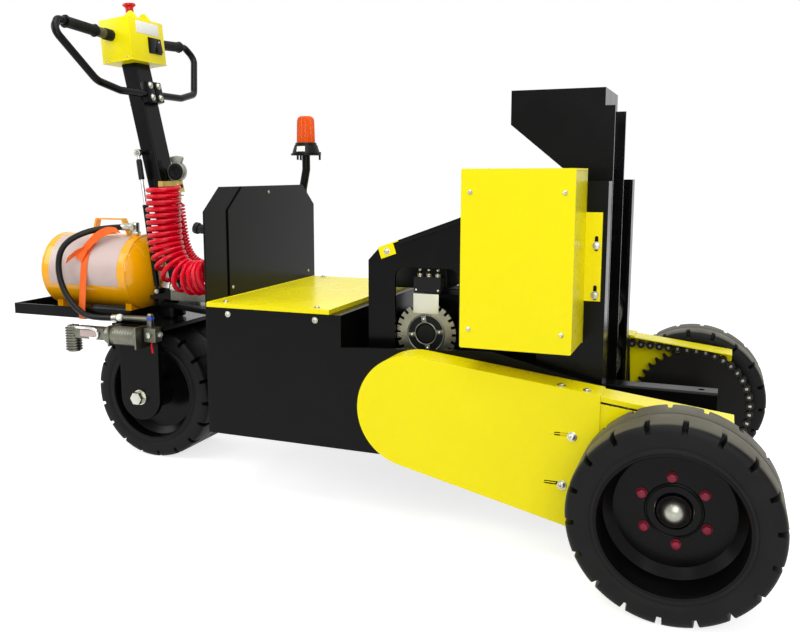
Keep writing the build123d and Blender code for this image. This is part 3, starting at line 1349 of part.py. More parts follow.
# Steering stem: the pin through the head, with the yoke and ears that hold the tiller
with BuildPart() as steering_stem:
    with BuildSketch(Plane.XY.offset(CROWN_LOW + CROWN_T)):
        with Locations((STEER_X, 0)):
            Circle(STEM_R)
    extrude(amount=YOKE_LOW - CROWN_LOW - CROWN_T)
    pivot_x = STEER_X + PIVOT_AHEAD
    ear_y = COL_W / 2 + EAR_GAP
    yoke_back = steer_x(YOKE_BACK)
    with BuildSketch(Plane.XY.offset(YOKE_LOW)):
        with Locations(((yoke_back + pivot_x + YOKE_EAR_R) / 2, 0)):
            Rectangle(pivot_x + YOKE_EAR_R - yoke_back, 2 * (ear_y + YOKE_EAR_T))
    extrude(amount=YOKE_T)
    for plate_y in (ear_y + YOKE_EAR_T, -ear_y):
        with BuildSketch(Plane.XZ.offset(-plate_y)):
            with BuildLine():
                Polyline(
                    (pivot_x - YOKE_EAR_R, PIVOT_Z),
                    (pivot_x - YOKE_EAR_R, YOKE_LOW + YOKE_T + YOKE_TAIL_H),
                    (steer_x(YOKE_TAIL), YOKE_LOW + YOKE_T + YOKE_TAIL_H),
                    (steer_x(YOKE_TAIL), YOKE_LOW + YOKE_T),
                    (pivot_x + YOKE_EAR_R, YOKE_LOW + YOKE_T),
                    (pivot_x + YOKE_EAR_R, PIVOT_Z),
                )
                ThreePointArc(
                    (pivot_x + YOKE_EAR_R, PIVOT_Z),
                    (pivot_x, PIVOT_Z + YOKE_EAR_R),
                    (pivot_x - YOKE_EAR_R, PIVOT_Z),
                )
            make_face()
        extrude(amount=YOKE_EAR_T)
    with BuildSketch(Plane.XZ.offset(-ear_y - YOKE_EAR_T)):
        with Locations((pivot_x, PIVOT_Z)):
            Circle(PIVOT_PIN_R)
    extrude(amount=2 * (ear_y + YOKE_EAR_T))
    for way in (-1, 1):
        with BuildSketch(Plane.XZ.offset(way * STRUT_PIN_END)):
            with Locations((steer_x(STRUT_LOW_BACK), STRUT_LOW_Z)):
                Circle(STRUT_PIN_R)
        extrude(amount=-way * (STRUT_PIN_END - ear_y))
keep(steering_stem, "steering_stem")

# Tray: a folded pan behind the fork crown
with BuildPart() as tray:
    tray_l = REAR_OVERHANG - TRAY_FRONT
    tray_mid = steer_x((REAR_OVERHANG + TRAY_FRONT) / 2)
    with BuildSketch(Plane.XY.offset(TRAY_LOW)):
        with Locations((tray_mid, 0)):
            Rectangle(tray_l, 2 * TRAY_Y)
    extrude(amount=TRAY_TOP - TRAY_LOW)
    with BuildSketch(Plane.XY.offset(TRAY_LOW + TRAY_T)):
        with Locations((tray_mid, 0)):
            Rectangle(tray_l - 2 * TRAY_T, 2 * TRAY_Y - 2 * TRAY_T)
    extrude(amount=TRAY_TOP - TRAY_LOW, mode=Mode.SUBTRACT)
keep(tray, "tray")

# Air tank: a cylinder with domed ends and a port on top
with BuildPart() as air_tank:
    along, up = cap_middle(TANK_R, DOME_L)
    with BuildSketch(Plane.XZ):
        with BuildLine():
            Line((steer_x(TANK_BACK + DOME_L), TANK_Z), (steer_x(TANK_FRONT - DOME_L), TANK_Z))
            ThreePointArc(
                (steer_x(TANK_FRONT - DOME_L), TANK_Z),
                (steer_x(TANK_FRONT - along), TANK_Z + up),
                (steer_x(TANK_FRONT), TANK_Z + TANK_R),
            )
            Line((steer_x(TANK_FRONT), TANK_Z + TANK_R), (steer_x(TANK_BACK), TANK_Z + TANK_R))
            ThreePointArc(
                (steer_x(TANK_BACK), TANK_Z + TANK_R),
                (steer_x(TANK_BACK + along), TANK_Z + up),
                (steer_x(TANK_BACK + DOME_L), TANK_Z),
            )
        make_face()
    revolve(axis=Axis((STEER_X, 0, TANK_Z), (1, 0, 0)))
keep(air_tank, "air_tank")

# Tank fittings: two saddle feet and a flat carrying handle
with BuildPart() as tank_mounts:
    for foot_x in (TANK_BACK - FOOT_W, TANK_FRONT + FOOT_W):
        with BuildSketch(Plane.YZ.offset(steer_x(foot_x) - FOOT_W / 2)):
            with Locations((0, (TRAY_LOW + TRAY_T + TANK_Z) / 2)):
                Rectangle(2 * FOOT_HALF, TANK_Z - TRAY_LOW - TRAY_T)
            with Locations((0, TANK_Z)):
                Circle(TANK_R + SEAT_GAP, mode=Mode.SUBTRACT)
        extrude(amount=FOOT_W)
    with BuildSketch(Plane.XZ.offset(-HANDLE_W / 2)):
        with BuildLine():
            top = TANK_Z + TANK_R + HANDLE_UP
            Polyline(
                (steer_x(HANDLE_BACK), TANK_Z + TANK_R),
                (steer_x(HANDLE_BACK - HANDLE_UP / 3), top),
                (steer_x(HANDLE_FRONT + HANDLE_UP / 2), top),
                (steer_x(HANDLE_FRONT), TANK_Z + TANK_R),
                (steer_x(HANDLE_FRONT + 2 * HANDLE_T), TANK_Z + TANK_R),
                (steer_x(HANDLE_FRONT + HANDLE_UP / 2 + HANDLE_T), top - HANDLE_T),
                (steer_x(HANDLE_BACK - HANDLE_UP / 3 - HANDLE_T), top - HANDLE_T),
                (steer_x(HANDLE_BACK - 2 * HANDLE_T), TANK_Z + TANK_R),
                close=True,
            )
        make_face()
    extrude(amount=HANDLE_W)
    with BuildSketch(Plane.XY.offset(TANK_Z + TANK_R / 2)):
        with Locations((steer_x(PORT_BACK), PORT_Y)):
            Circle(PORT_R)
    extrude(amount=PORT_TOP - TANK_Z - TANK_R / 2)
    with BuildSketch(Plane.YZ.offset(steer_x(TANK_BACK))):
        with Locations((0, TANK_Z)):
            Circle(TANK_R + SEAT_GAP)
    extrude(amount=TANK_BACK - TANK_FRONT, mode=Mode.SUBTRACT)
keep(tank_mounts, "tank_mounts")

# Compressor: a motor held to the fork's leg by a flange and a strap, then the pump body and its head
with BuildPart() as compressor:
    with BuildSketch(Plane.YZ.offset(steer_x(COMP_BACK))):
        with Locations((COMP_Y, COMP_Z)):
            Circle(COMP_R)
    extrude(amount=COMP_BACK - COMP_FRONT)
    flange_in = -LEG_Y - SEAT_GAP
    flange_out = COMP_Y - COMP_R
    for plate_back, plate_h in ((COMP_FRONT, COMP_FLANGE_H), (COMP_STRAP_BACK, COMP_R)):
        with BuildSketch(Plane.YZ.offset(steer_x(plate_back) - COMP_FLANGE_T)):
            with Locations(((flange_in + flange_out) / 2, COMP_Z)):
                Rectangle(flange_in - flange_out, plate_h)
        extrude(amount=COMP_FLANGE_T)
    with BuildSketch(Plane.YZ.offset(steer_x(COMP_BACK + PUMP_BODY_L))):
        with Locations((COMP_Y, PUMP_BODY_TOP - PUMP_BODY_H / 2)):
            Rectangle(PUMP_BODY_H, PUMP_BODY_H)
    extrude(amount=PUMP_BODY_L)
    with BuildSketch(Plane.XY.offset(PUMP_HEAD_LOW)):
        with Locations((steer_x(COMP_BACK + PUMP_BODY_L), COMP_Y)):
            Circle(PUMP_HEAD_R)
    extrude(amount=PUMP_BODY_TOP - PUMP_HEAD_LOW)
keep(compressor, "compressor")

# Hose fittings on the fork: the coupling with its elbow and valve, and the arm with the coil's manifold
with BuildPart() as hose_fittings:
    hose_end = Vector(steer_x(HOSE_PATH[-1][0]), HOSE_PATH[-1][1], HOSE_PATH[-1][2])
    coupling_end = Vector(steer_x(COUPLING_END[0]), COUPLING_END[1], COUPLING_END[2])
    coupling_run = coupling_end - hose_end
    with BuildSketch(Plane(origin=hose_end, z_dir=coupling_run).offset(COUPLING_GAP)):
        Circle(COUPLING_R)
    extrude(amount=coupling_run.length - COUPLING_GAP)
    with BuildSketch(Plane.XY.offset(CROWN_LOW)):
        with Locations((coupling_end.X, coupling_end.Y)):
            Circle(ELBOW_R)
    extrude(amount=ELBOW_TOP - CROWN_LOW)
    with BuildSketch(Plane.XY.offset(VALVE_LOW)):
        with Locations((coupling_end.X + VALVE_SET_IN, -LEG_Y - VALVE_W / 2)):
            RectangleRounded(VALVE_L, VALVE_W, COMP_FLANGE_T)
    extrude(amount=CROWN_LOW + CROWN_T - VALVE_LOW)
    coil_before = Vector(STEER_X + COIL_PATH[-2][0], COIL_Y, COIL_PATH[-2][1])
    coil_last = Vector(STEER_X + COIL_PATH[-1][0], COIL_Y, COIL_PATH[-1][1])
    coil_end_plane = Plane(origin=coil_last, x_dir=(0, 1, 0), z_dir=coil_last - coil_before)
    ear_out = COL_W / 2 + EAR_GAP + YOKE_EAR_T
    block_from = -ear_out - COIL_Y - MANIFOLD_W
    with BuildSketch(coil_end_plane):
        with Locations((block_from + MANIFOLD_W / 2, -COIL_R + MANIFOLD_H / 2)):
            Rectangle(MANIFOLD_W, MANIFOLD_H)
    extrude(amount=MANIFOLD_T)
    arm_start = STEER_X + PIVOT_AHEAD - ARM_BACK
    arm_end = coil_last.X + MANIFOLD_T
    with BuildSketch(Plane.XZ.offset(ear_out)):
        with Locations(((arm_start + arm_end) / 2, YOKE_LOW + ARM_H / 2)):
            Rectangle(arm_end - arm_start, ARM_H)
    extrude(amount=ARM_T)
keep(hose_fittings, "hose_fittings")

LEAN_DIR = (-sin(radians(LEAN)), cos(radians(LEAN)))
PIVOT_X = STEER_X + PIVOT_AHEAD
BOX_X = STEER_X - CONTROL_BACK
BOX_DIR = (-sin(radians(CONTROL_LEAN)), 0, cos(radians(CONTROL_LEAN)))
BOX_PLANE = Plane(origin=(BOX_X, 0, CONTROL_Z), x_dir=(0, 1, 0), z_dir=BOX_DIR)
COL_PLANE = Plane(origin=(PIVOT_X, 0, PIVOT_Z), x_dir=(0, 1, 0), z_dir=(LEAN_DIR[0], 0, LEAN_DIR[1]))
# Tiller column: a rectangular tube that leans back from its pivot
with BuildPart() as tiller_column:
    with BuildSketch(COL_PLANE.offset(-COL_DOWN)):
        RectangleRounded(COL_W, COL_D, COL_CORNER)
        RectangleRounded(COL_W - 2 * COL_WALL, COL_D - 2 * COL_WALL, COL_CORNER - COL_WALL / 2, mode=Mode.SUBTRACT)
    extrude(amount=COL_UP + COL_DOWN)
    split(bisect_by=BOX_PLANE.offset(-CONTROL_H / 2), keep=Keep.BOTTOM)
    with BuildSketch(Plane.XZ.offset(-COL_W)):
        with Locations((PIVOT_X, PIVOT_Z)):
            Circle(PIVOT_PIN_R + SEAT_GAP / 3)
    extrude(amount=2 * COL_W, mode=Mode.SUBTRACT)
    for way in (-1, 1):
        with BuildSketch(Plane.XZ.offset(way * STRUT_PIN_END)):
            with Locations((steer_x(STRUT_TOP_BACK), STRUT_TOP_Z)):
                Circle(STRUT_PIN_R)
        extrude(amount=-way * (STRUT_PIN_END - COL_W / 2 + COL_WALL / 2))
keep(tiller_column, "tiller_column")

# Hose block on the column's front: a cast union with a round coupling face and a hook for the coil
with BuildPart() as hose_block:
    block_y = -COL_D / 2 - HOSE_BLOCK_D / 2
    with BuildSketch(COL_PLANE.offset(HOSE_BLOCK_UP)):
        with Locations((HOSE_BLOCK_Y, block_y)):
            RectangleRounded(HOSE_BLOCK_W, HOSE_BLOCK_D, COL_CORNER)
    extrude(amount=HOSE_BLOCK_H)
    with BuildSketch(COL_PLANE.offset(HOSE_BLOCK_UP + HOSE_BLOCK_H)):
        with Locations((HOSE_BLOCK_Y, block_y)):
            Rectangle(GLAD_T, GLAD_NECK_W)
    extrude(amount=GLAD_UP)
    glad_up = HOSE_BLOCK_UP + HOSE_BLOCK_H + GLAD_UP
    glad_out = COL_D / 2 + GLAD_OUT
    glad_x = PIVOT_X + LEAN_DIR[0] * glad_up + LEAN_DIR[1] * glad_out
    glad_z = PIVOT_Z + LEAN_DIR[1] * glad_up - LEAN_DIR[0] * glad_out
    with BuildSketch(Plane.XZ.offset(-HOSE_BLOCK_Y - GLAD_T / 2)):
        with Locations((glad_x, glad_z)):
            Circle(GLAD_R)
    extrude(amount=GLAD_T)
    hook_x = PIVOT_X + LEAN_DIR[0] * HOSE_BLOCK_UP - LEAN_DIR[1] * (-COL_D / 2 - HOSE_BLOCK_D)
    with BuildSketch(Plane.XY.offset(COIL_PATH[0][1] + HOOK_LIFT)):
        with Locations((hook_x - HOOK_W, (HOSE_BLOCK_Y + HOOK_END) / 2)):
            Rectangle(HOOK_W, HOSE_BLOCK_Y - HOOK_END)
    extrude(amount=HOOK_W)
keep(hose_block, "hose_block")

# Handle loop: one bent tube past the column's front face, out to both grips
COL_FACE_X = PIVOT_X - (LOOP_Z - PIVOT_Z) * tan(radians(LEAN)) + COL_D / 2 / cos(radians(LEAN))
LOOP_ORIGIN = (COL_FACE_X + LOOP_R + SEAT_GAP, 0, LOOP_Z)
LOOP_UP = (-sin(radians(LOOP_LEAN)), 0, cos(radians(LOOP_LEAN)))
LOOP_PLANE = Plane(origin=LOOP_ORIGIN, x_dir=(0, 1, 0), z_dir=Vector(0, 1, 0).cross(Vector(LOOP_UP)))
LOOP_HALF = ((CONTROL_W / 2 + LOOP_GAP, 186.0), (300.0, 202.0), (333.0, 165.0), (238.0, 22.0), (150.0, 0.0))
LOOP_RADII = (18.0, 30.0, 40.0, 60.0)
with BuildPart() as handle_loop:
    with BuildLine(LOOP_PLANE) as loop_path:
        left = [(y, s) for y, s in LOOP_HALF]
        right = [(-y, s) for y, s in reversed(LOOP_HALF)]
        FilletPolyline(*left, *right, radius=list(LOOP_RADII) + list(reversed(LOOP_RADII)))
    with BuildSketch(Plane(origin=loop_path.wires()[0] @ 0, z_dir=loop_path.wires()[0] % 0)):
        Circle(LOOP_R)
    sweep(path=loop_path.wires()[0])
keep(handle_loop, "handle_loop")

# Hand grips on the loop's top runs
GRIP_Y, GRIP_S = LOOP_HALF[0]
GRIP_END_Y, GRIP_END_S = LOOP_HALF[1]
GRIP_RUN = hypot(GRIP_END_Y - GRIP_Y, GRIP_END_S - GRIP_S)
with BuildPart() as hand_grips:
    for way in (-1, 1):
        grip_at = Vector(*LOOP_ORIGIN) + Vector(*LOOP_UP) * GRIP_S + Vector(0, way * GRIP_Y, 0)
        grip_dir = Vector(*LOOP_UP) * ((GRIP_END_S - GRIP_S) / GRIP_RUN) + Vector(
            0, way * (GRIP_END_Y - GRIP_Y) / GRIP_RUN, 0
        )
        with BuildSketch(Plane(origin=grip_at + grip_dir * GRIP_START, z_dir=grip_dir)):
            Circle(GRIP_R)
            Circle(LOOP_R + SEAT_GAP, mode=Mode.SUBTRACT)
        extrude(amount=GRIP_L)
keep(hand_grips, "hand_grips")

# Control box: a yellow case on top of the column
with BuildPart() as control_box:
    with BuildSketch(BOX_PLANE.offset(-CONTROL_H / 2)):
        RectangleRounded(CONTROL_W, CONTROL_D, CONTROL_R)
    extrude(amount=CONTROL_H)
keep(control_box, "control_box")

# Stop button on the box's top
with BuildPart() as stop_button:
    with BuildSketch(BOX_PLANE.offset(CONTROL_H / 2)):
        Circle(MUSHROOM_STEM_R)
    extrude(amount=MUSHROOM_STEM_H)
    with BuildSketch(BOX_PLANE.offset(CONTROL_H / 2 + MUSHROOM_STEM_H)):
        Circle(MUSHROOM_R)
    extrude(amount=MUSHROOM_H)
keep(stop_button, "stop_button")

STRUT_LOW = (steer_x(STRUT_LOW_BACK), STRUT_LOW_Z)
STRUT_TOP = (steer_x(STRUT_TOP_BACK), STRUT_TOP_Z)
STRUT_L = hypot(STRUT_TOP[0] - STRUT_LOW[0], STRUT_TOP[1] - STRUT_LOW[1])
STRUT_DIR = ((STRUT_TOP[0] - STRUT_LOW[0]) / STRUT_L, 0, (STRUT_TOP[1] - STRUT_LOW[1]) / STRUT_L)
# Gas struts, lower tubes: an eye on the yoke's stud, a neck and the tube
with BuildPart() as strut_tubes:
    for way in (-1, 1):
        strut_plane = Plane(
            origin=(STRUT_LOW[0], way * STRUT_Y, STRUT_LOW[1]), x_dir=(0, 1, 0), z_dir=STRUT_DIR
        )
        with BuildSketch(strut_plane.offset(STRUT_EYE_R / 2)):
            Circle(STRUT_ROD_R)
        extrude(amount=STRUT_NECK_L)
        with BuildSketch(strut_plane.offset(STRUT_NECK_L)):
            Circle(STRUT_TUBE_R)
        extrude(amount=STRUT_TUBE_L)
        with BuildSketch(strut_plane.offset(2 * STRUT_NECK_L)):
            Circle(STRUT_ROD_R + ROD_FIT)
        extrude(amount=STRUT_TUBE_L, mode=Mode.SUBTRACT)
        with BuildSketch(Plane.XZ.offset(-way * STRUT_Y - STRUT_EYE_T / 2)):
            with Locations(STRUT_LOW):
                Circle(STRUT_EYE_R)
        extrude(amount=STRUT_EYE_T)
        with BuildSketch(Plane.XZ.offset(-way * STRUT_Y - STRUT_EYE_T)):
            with Locations(STRUT_LOW):
                Circle(STRUT_PIN_R + STRUT_LOW_FIT)
        extrude(amount=2 * STRUT_EYE_T, mode=Mode.SUBTRACT)
keep(strut_tubes, "strut_tubes")

# Gas struts, rods with their upper eyes, which are a loose fit on the column's pins
with BuildPart() as strut_rods:
    for way in (-1, 1):
        strut_plane = Plane(
            origin=(STRUT_LOW[0], way * STRUT_Y, STRUT_LOW[1]), x_dir=(0, 1, 0), z_dir=STRUT_DIR
        )
        with BuildSketch(strut_plane.offset(STRUT_TUBE_L / 2)):
            Circle(STRUT_ROD_R)
        extrude(amount=STRUT_L - STRUT_TUBE_L / 2 - STRUT_EYE_R / 2)
        with BuildSketch(Plane.XZ.offset(-way * STRUT_Y - STRUT_EYE_T / 2)):
            with Locations(STRUT_TOP):
                Circle(STRUT_EYE_R + STRUT_TOP_FIT)
        extrude(amount=STRUT_EYE_T)
        with BuildSketch(Plane.XZ.offset(-way * STRUT_Y - STRUT_EYE_T)):
            with Locations(STRUT_TOP):
                Circle(STRUT_PIN_R + STRUT_TOP_FIT)
        extrude(amount=2 * STRUT_EYE_T, mode=Mode.SUBTRACT)
keep(strut_rods, "strut_rods")


def bend_radii(points):
    """Tangent arc radius at each inner point: a share of the shorter run beside it."""
    radii = []
    for before, at, after in zip(points, points[1:], points[2:]):
        run_in = Vector(*at) - Vector(*before)
        run_out = Vector(*after) - Vector(*at)
        half_turn = radians(run_in.get_angle(run_out)) / 2
        radii.append(BEND_SHARE * min(run_in.length, run_out.length) / tan(half_turn))
    return radii


# Coiled air hose as one thick tube of the coil's outer diameter, and the tank's plain hose
COIL_POINTS = [(STEER_X + ahead, COIL_Y, height) for ahead, height in COIL_PATH]
HOSE_POINTS = [(steer_x(back), side_y, height) for back, side_y, height in HOSE_PATH]
for hose_name, hose_points, hose_r in (
    ("coil_hose", COIL_POINTS, COIL_R),
    ("tank_hose", HOSE_POINTS, HOSE_R),
):
    radii = bend_radii(hose_points)
    print(hose_name, "bend radii", [round(radius, 1) for radius in radii])
    with BuildPart() as hose:
        with BuildLine() as hose_line:
            FilletPolyline(*hose_points, radius=radii)
        hose_path = hose_line.wires()[0]
        with BuildSketch(Plane(origin=hose_path @ 0, z_dir=hose_path % 0)):
            Circle(hose_r)
        sweep(path=hose_path)
    keep(hose, hose_name)
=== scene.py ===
"""Scene of a pedestrian electric trailer mover: finishes, fastenings, air lines, studio and camera."""

from __future__ import annotations

import logging
from dataclasses import dataclass, replace
from enum import Enum
from math import asin, atan2, cos, hypot, pi, radians, sin, sqrt

import bmesh
import bpy
from mathutils import Matrix, Vector


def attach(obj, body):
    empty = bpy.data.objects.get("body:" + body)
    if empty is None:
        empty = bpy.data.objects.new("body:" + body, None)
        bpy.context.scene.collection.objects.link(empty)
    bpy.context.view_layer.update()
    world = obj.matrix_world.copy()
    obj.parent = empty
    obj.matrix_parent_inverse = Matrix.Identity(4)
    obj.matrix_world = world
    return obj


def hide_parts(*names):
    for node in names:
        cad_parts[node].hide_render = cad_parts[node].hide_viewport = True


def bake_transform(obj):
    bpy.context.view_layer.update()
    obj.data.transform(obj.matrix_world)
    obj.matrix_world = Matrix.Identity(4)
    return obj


log = logging.getLogger("trailer_mover")
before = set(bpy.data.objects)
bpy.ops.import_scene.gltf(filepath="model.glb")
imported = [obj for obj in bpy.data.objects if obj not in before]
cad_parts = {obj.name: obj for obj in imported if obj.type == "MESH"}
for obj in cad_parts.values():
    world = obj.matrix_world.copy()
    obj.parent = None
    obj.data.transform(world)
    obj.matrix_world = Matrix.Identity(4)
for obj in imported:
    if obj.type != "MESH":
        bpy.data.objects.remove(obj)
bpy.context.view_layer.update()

# Main sizes of the part's source, in metres
AXLE_X = 0.927
STEER_X = -0.615
WHEEL_Z = 0.203
DRIVER_X = 0.330
DRIVER_Z = 0.323
SIDES = (("r", -1), ("l", 1))
LEFT_RIGHT = (-1, 1)
X_AXIS = Vector((1, 0, 0))
Y_AXIS = Vector((0, 1, 0))
Z_AXIS = Vector((0, 0, 1))

# Angles past which an edge shades as a corner and past which it gets a bevel
CORNER_DEGREES = 34
BEVEL_DEGREES = 35
# How deep heads sit into what they hold, and a washer's thickness
SUNK = 0.0002
WASHER_THICK = 0.0016
# How fast the tread's grey starts, dust with painted light from above, and how much of the colour it covers
DUST_AND_SHEEN_FADE = 0.0025
DUST_AND_SHEEN_SHARE = 0.85


def linear(code: str, alpha: float = 1.0) -> tuple[float, float, float, float]:
    """Turns an sRGB hex colour into a linear colour.

    Args:
        code: The colour as six hex digits.
        alpha: The fourth number of the result.

    Returns:
        Red, green, blue and alpha for a shader socket.
    """
    parts = [int(code[i : i + 2], 16) / 255 for i in (0, 2, 4)]
    red, green, blue = [c / 12.92 if c <= 0.04045 else ((c + 0.055) / 1.055) ** 2.4 for c in parts]
    return red, green, blue, alpha


def add_node(tree: bpy.types.NodeTree, kind: str, links: dict | None = None, **settings) -> bpy.types.Node:
    """Adds one shader node.

    Args:
        tree: The node tree.
        kind: The node's type name without the word ShaderNode.
        links: Input name or number to the output socket or plain value it takes.
        settings: Properties of the node.

    Returns:
        The new node.
    """
    node = tree.nodes.new("ShaderNode" + kind)
    for name, value in settings.items():
        setattr(node, name, value)
    for key, value in (links or {}).items():
        if isinstance(value, bpy.types.NodeSocket):
            tree.links.new(value, node.inputs[key])
        else:
            node.inputs[key].default_value = value
    return node


class Relief(Enum):
    """What gives a finish its small unevenness."""

    PEEL = "orange peel of a sprayed coat"
    CAST = "sand-cast grain"
    BRUSHED = "turned or brushed lines"
    MOULDED = "fine moulded grain"
    WOVEN = "woven webbing"


@dataclass(frozen=True)
class Finish:
    """A surface finish, from what it is made of and how it was made."""

    name: str
    slot: str
    colour: str
    second: str
    roughness: float
    metallic: float = 0.0
    coat: float = 0.0
    coat_roughness: float = 0.08
    relief: Relief = Relief.PEEL
    grain_mm: float = 2.0
    bump: float = 0.08
    patch_mm: float = 120.0
    wear: float = 0.2
    level: float = 0.5
    transmission: float = 0.0
    ior: float = 1.5
    edge_mm: float = 0.0
    dust_and_sheen: str = ""
    dust_and_sheen_axle: tuple[float, float, float] = (0, 0, 0)
    dust_and_sheen_from: float = 0.0

    def build(self) -> bpy.types.Material:
        """Builds the node material, once.

        Returns:
            The material, also where it was built before.
        """
        known = bpy.data.materials.get(self.name)
        if known:
            return known
        material = bpy.data.materials.new(self.name)
        material.use_nodes = True
        tree = material.node_tree
        tree.nodes.clear()
        place = add_node(tree, "TexCoord").outputs["Object"]
        spots = {"Vector": place, "Scale": 1000 / self.patch_mm, "Detail": 6.0, "Roughness": 0.6}
        patches = add_node(tree, "TexNoise", spots)
        shares = {"Value": patches.outputs[0], "From Min": 0.42, "From Max": 0.68}
        mottle = add_node(tree, "MapRange", shares)
        colours = {0: mottle.outputs[0], 6: linear(self.colour), 7: linear(self.second)}
        colour = add_node(tree, "Mix", colours, data_type="RGBA").outputs[2]
        # a tread's grey is dust with painted light from above
        if self.dust_and_sheen:
            colour = self._add_dust_and_sheen(tree, place, colour)
        shares = {
            "Value": patches.outputs[0],
            "From Min": 0.3,
            "From Max": 0.7,
            "To Min": max(0.02, self.roughness * (1 - self.wear)),
            "To Max": min(1.0, self.roughness * (1 + self.wear)),
        }
        rough = add_node(tree, "MapRange", shares)
        relief = {"Height": self._grain(tree, place), "Strength": self.bump, "Distance": self.grain_mm / 1000}
        if self.edge_mm:
            rounded = add_node(tree, "Bevel", {"Radius": self.edge_mm / 1000}, samples=4)
            relief["Normal"] = rounded.outputs[0]
        bump = add_node(tree, "Bump", relief)
        sockets = {
            "Base Color": colour,
            "Roughness": rough.outputs[0],
            "Metallic": self.metallic,
            "Normal": bump.outputs[0],
            "Coat Weight": self.coat,
            "Coat Roughness": self.coat_roughness,
            "Specular IOR Level": self.level,
            "Transmission Weight": self.transmission,
            "IOR": self.ior,
        }
        shader = add_node(tree, "BsdfPrincipled", sockets)
        add_node(tree, "OutputMaterial", {"Surface": shader.outputs[0]})
        return material

    def _add_dust_and_sheen(
        self, tree: bpy.types.NodeTree, place: bpy.types.NodeSocket, clean: bpy.types.NodeSocket
    ) -> bpy.types.NodeSocket:
        """Greys the surface beyond a distance from the axle, as dust with painted light from above on a
        tread.

        Args:
            tree: The material's node tree.
            place: Object coordinates.
            clean: The colour without dust.

        Returns:
            The colour socket.
        """
        flat = add_node(tree, "VectorMath", {0: place, 1: (1, 0, 1)}, operation="MULTIPLY")
        away = add_node(tree, "VectorMath", {0: flat.outputs[0], 1: self.dust_and_sheen_axle}, operation="DISTANCE")
        # painted light and dust: everything past the tread's radius turns grey
        low, high = self.dust_and_sheen_from, self.dust_and_sheen_from + DUST_AND_SHEEN_FADE
        edge = {"Value": away.outputs["Value"], "From Min": low, "From Max": high, "To Max": DUST_AND_SHEEN_SHARE}
        dust_and_sheen_mask = add_node(tree, "MapRange", edge)
        colours = {0: dust_and_sheen_mask.outputs[0], 6: clean, 7: linear(self.dust_and_sheen)}
        return add_node(tree, "Mix", colours, data_type="RGBA").outputs[2]

    def _grain(self, tree: bpy.types.NodeTree, place: bpy.types.NodeSocket) -> bpy.types.NodeSocket:
        """Adds the pattern that the bump reads.

        Args:
            tree: The material's node tree.
            place: Object coordinates.

        Returns:
            The height socket.
        """
        scale = 1000 / self.grain_mm
        if self.relief is Relief.BRUSHED:
            stretched = add_node(tree, "Mapping", {"Vector": place, "Scale": (scale * 0.12, scale, scale)})
            links = {"Vector": stretched.outputs[0], "Scale": 1.0, "Detail": 4.0}
            return add_node(tree, "TexNoise", links).outputs[0]
        if self.relief is Relief.CAST:
            links = {"Vector": place, "Scale": scale}
            return add_node(tree, "TexVoronoi", links, feature="SMOOTH_F1").outputs[0]
        if self.relief is Relief.WOVEN:
            links = {"Vector": place, "Scale": scale / (2 * pi), "Distortion": 1.5}
            return add_node(tree, "TexWave", links, bands_direction="DIAGONAL").outputs[0]
        return add_node(tree, "TexNoise", {"Vector": place, "Scale": scale, "Detail": 3.0}).outputs[0]


# Powder coat cures glossy with a soft orange peel, and dulls where it is handled or dusty
BLACK_POWDER = Finish(
    "black_powder_coat_steel",
    "black_paint",
    "070807",
    "0A0B0A",
    0.22,
    bump=0.04,
    grain_mm=1.6,
    level=0.11,
    edge_mm=1.2,
)
YELLOW_POWDER = Finish(
    "yellow_powder_coat_steel",
    "yellow_paint",
    "F3E400",
    "F1E206",
    0.28,
    bump=0.04,
    grain_mm=1.8,
    level=0.22,
    edge_mm=1.2,
)
# Turned and plated steels show the studio as soft streaks
HUB_STEEL = Finish(
    "dull_turned_hub_steel", "bare_steel", "B0B0A4", "8E8E84", 0.3, 1.0, relief=Relief.BRUSHED, grain_mm=0.8
)
MOTOR_STEEL = Finish(
    "plated_brake_disc_steel",
    "bare_steel",
    "8E8B78",
    "6A6756",
    0.3,
    1.0,
    relief=Relief.CAST,
    grain_mm=2.5,
    bump=0.25,
)
LIGHT_CASTING = Finish(
    "bright_die_cast_alloy",
    "cast_metal",
    "A9ABA0",
    "8F9187",
    0.4,
    0.85,
    relief=Relief.CAST,
    grain_mm=1.2,
    bump=0.2,
)
# Sprayed enamel on a pressed air tank is thick and very glossy
TANK_ENAMEL = Finish(
    "amber_yellow_tank_enamel",
    "tank_paint",
    "FFB202",
    "FCAC00",
    0.16,
    coat=0.3,
    level=0.3,
    bump=0.03,
    grain_mm=3.0,
)
# Painted castings keep the sand grain under the paint
BLACK_CASTING = Finish(
    "black_painted_cast_iron",
    "black_cast",
    "0A0B0A",
    "121412",
    0.45,
    relief=Relief.CAST,
    grain_mm=1.4,
    bump=0.2,
    level=0.16,
)
GREY_CASTING = Finish(
    "bare_die_cast_aluminium",
    "cast_metal",
    "77776B",
    "54544A",
    0.34,
    0.95,
    relief=Relief.CAST,
    grain_mm=1.2,
    bump=0.2,
)
ZINC_STEEL = Finish(
    "zinc_plated_machined_steel",
    "bare_steel",
    "C2C2B6",
    "A2A295",
    0.3,
    1.0,
    relief=Relief.BRUSHED,
    grain_mm=0.6,
)
BRASS = Finish(
    "machined_yellow_brass",
    "brass",
    "C9A95C",
    "A88A45",
    0.3,
    1.0,
    relief=Relief.BRUSHED,
    grain_mm=0.6,
)
CHAIN_STEEL = Finish(
    "oiled_chain_steel",
    "chain_steel",
    "2C2A25",
    "1B1A17",
    0.34,
    0.7,
    relief=Relief.CAST,
    grain_mm=0.8,
    patch_mm=40,
)
SPROCKET_STEEL = Finish(
    "oil_blacked_sprocket_steel",
    "chain_steel",
    "151412",
    "0D0D0B",
    0.4,
    0.3,
    relief=Relief.CAST,
    grain_mm=0.8,
    level=0.2,
)
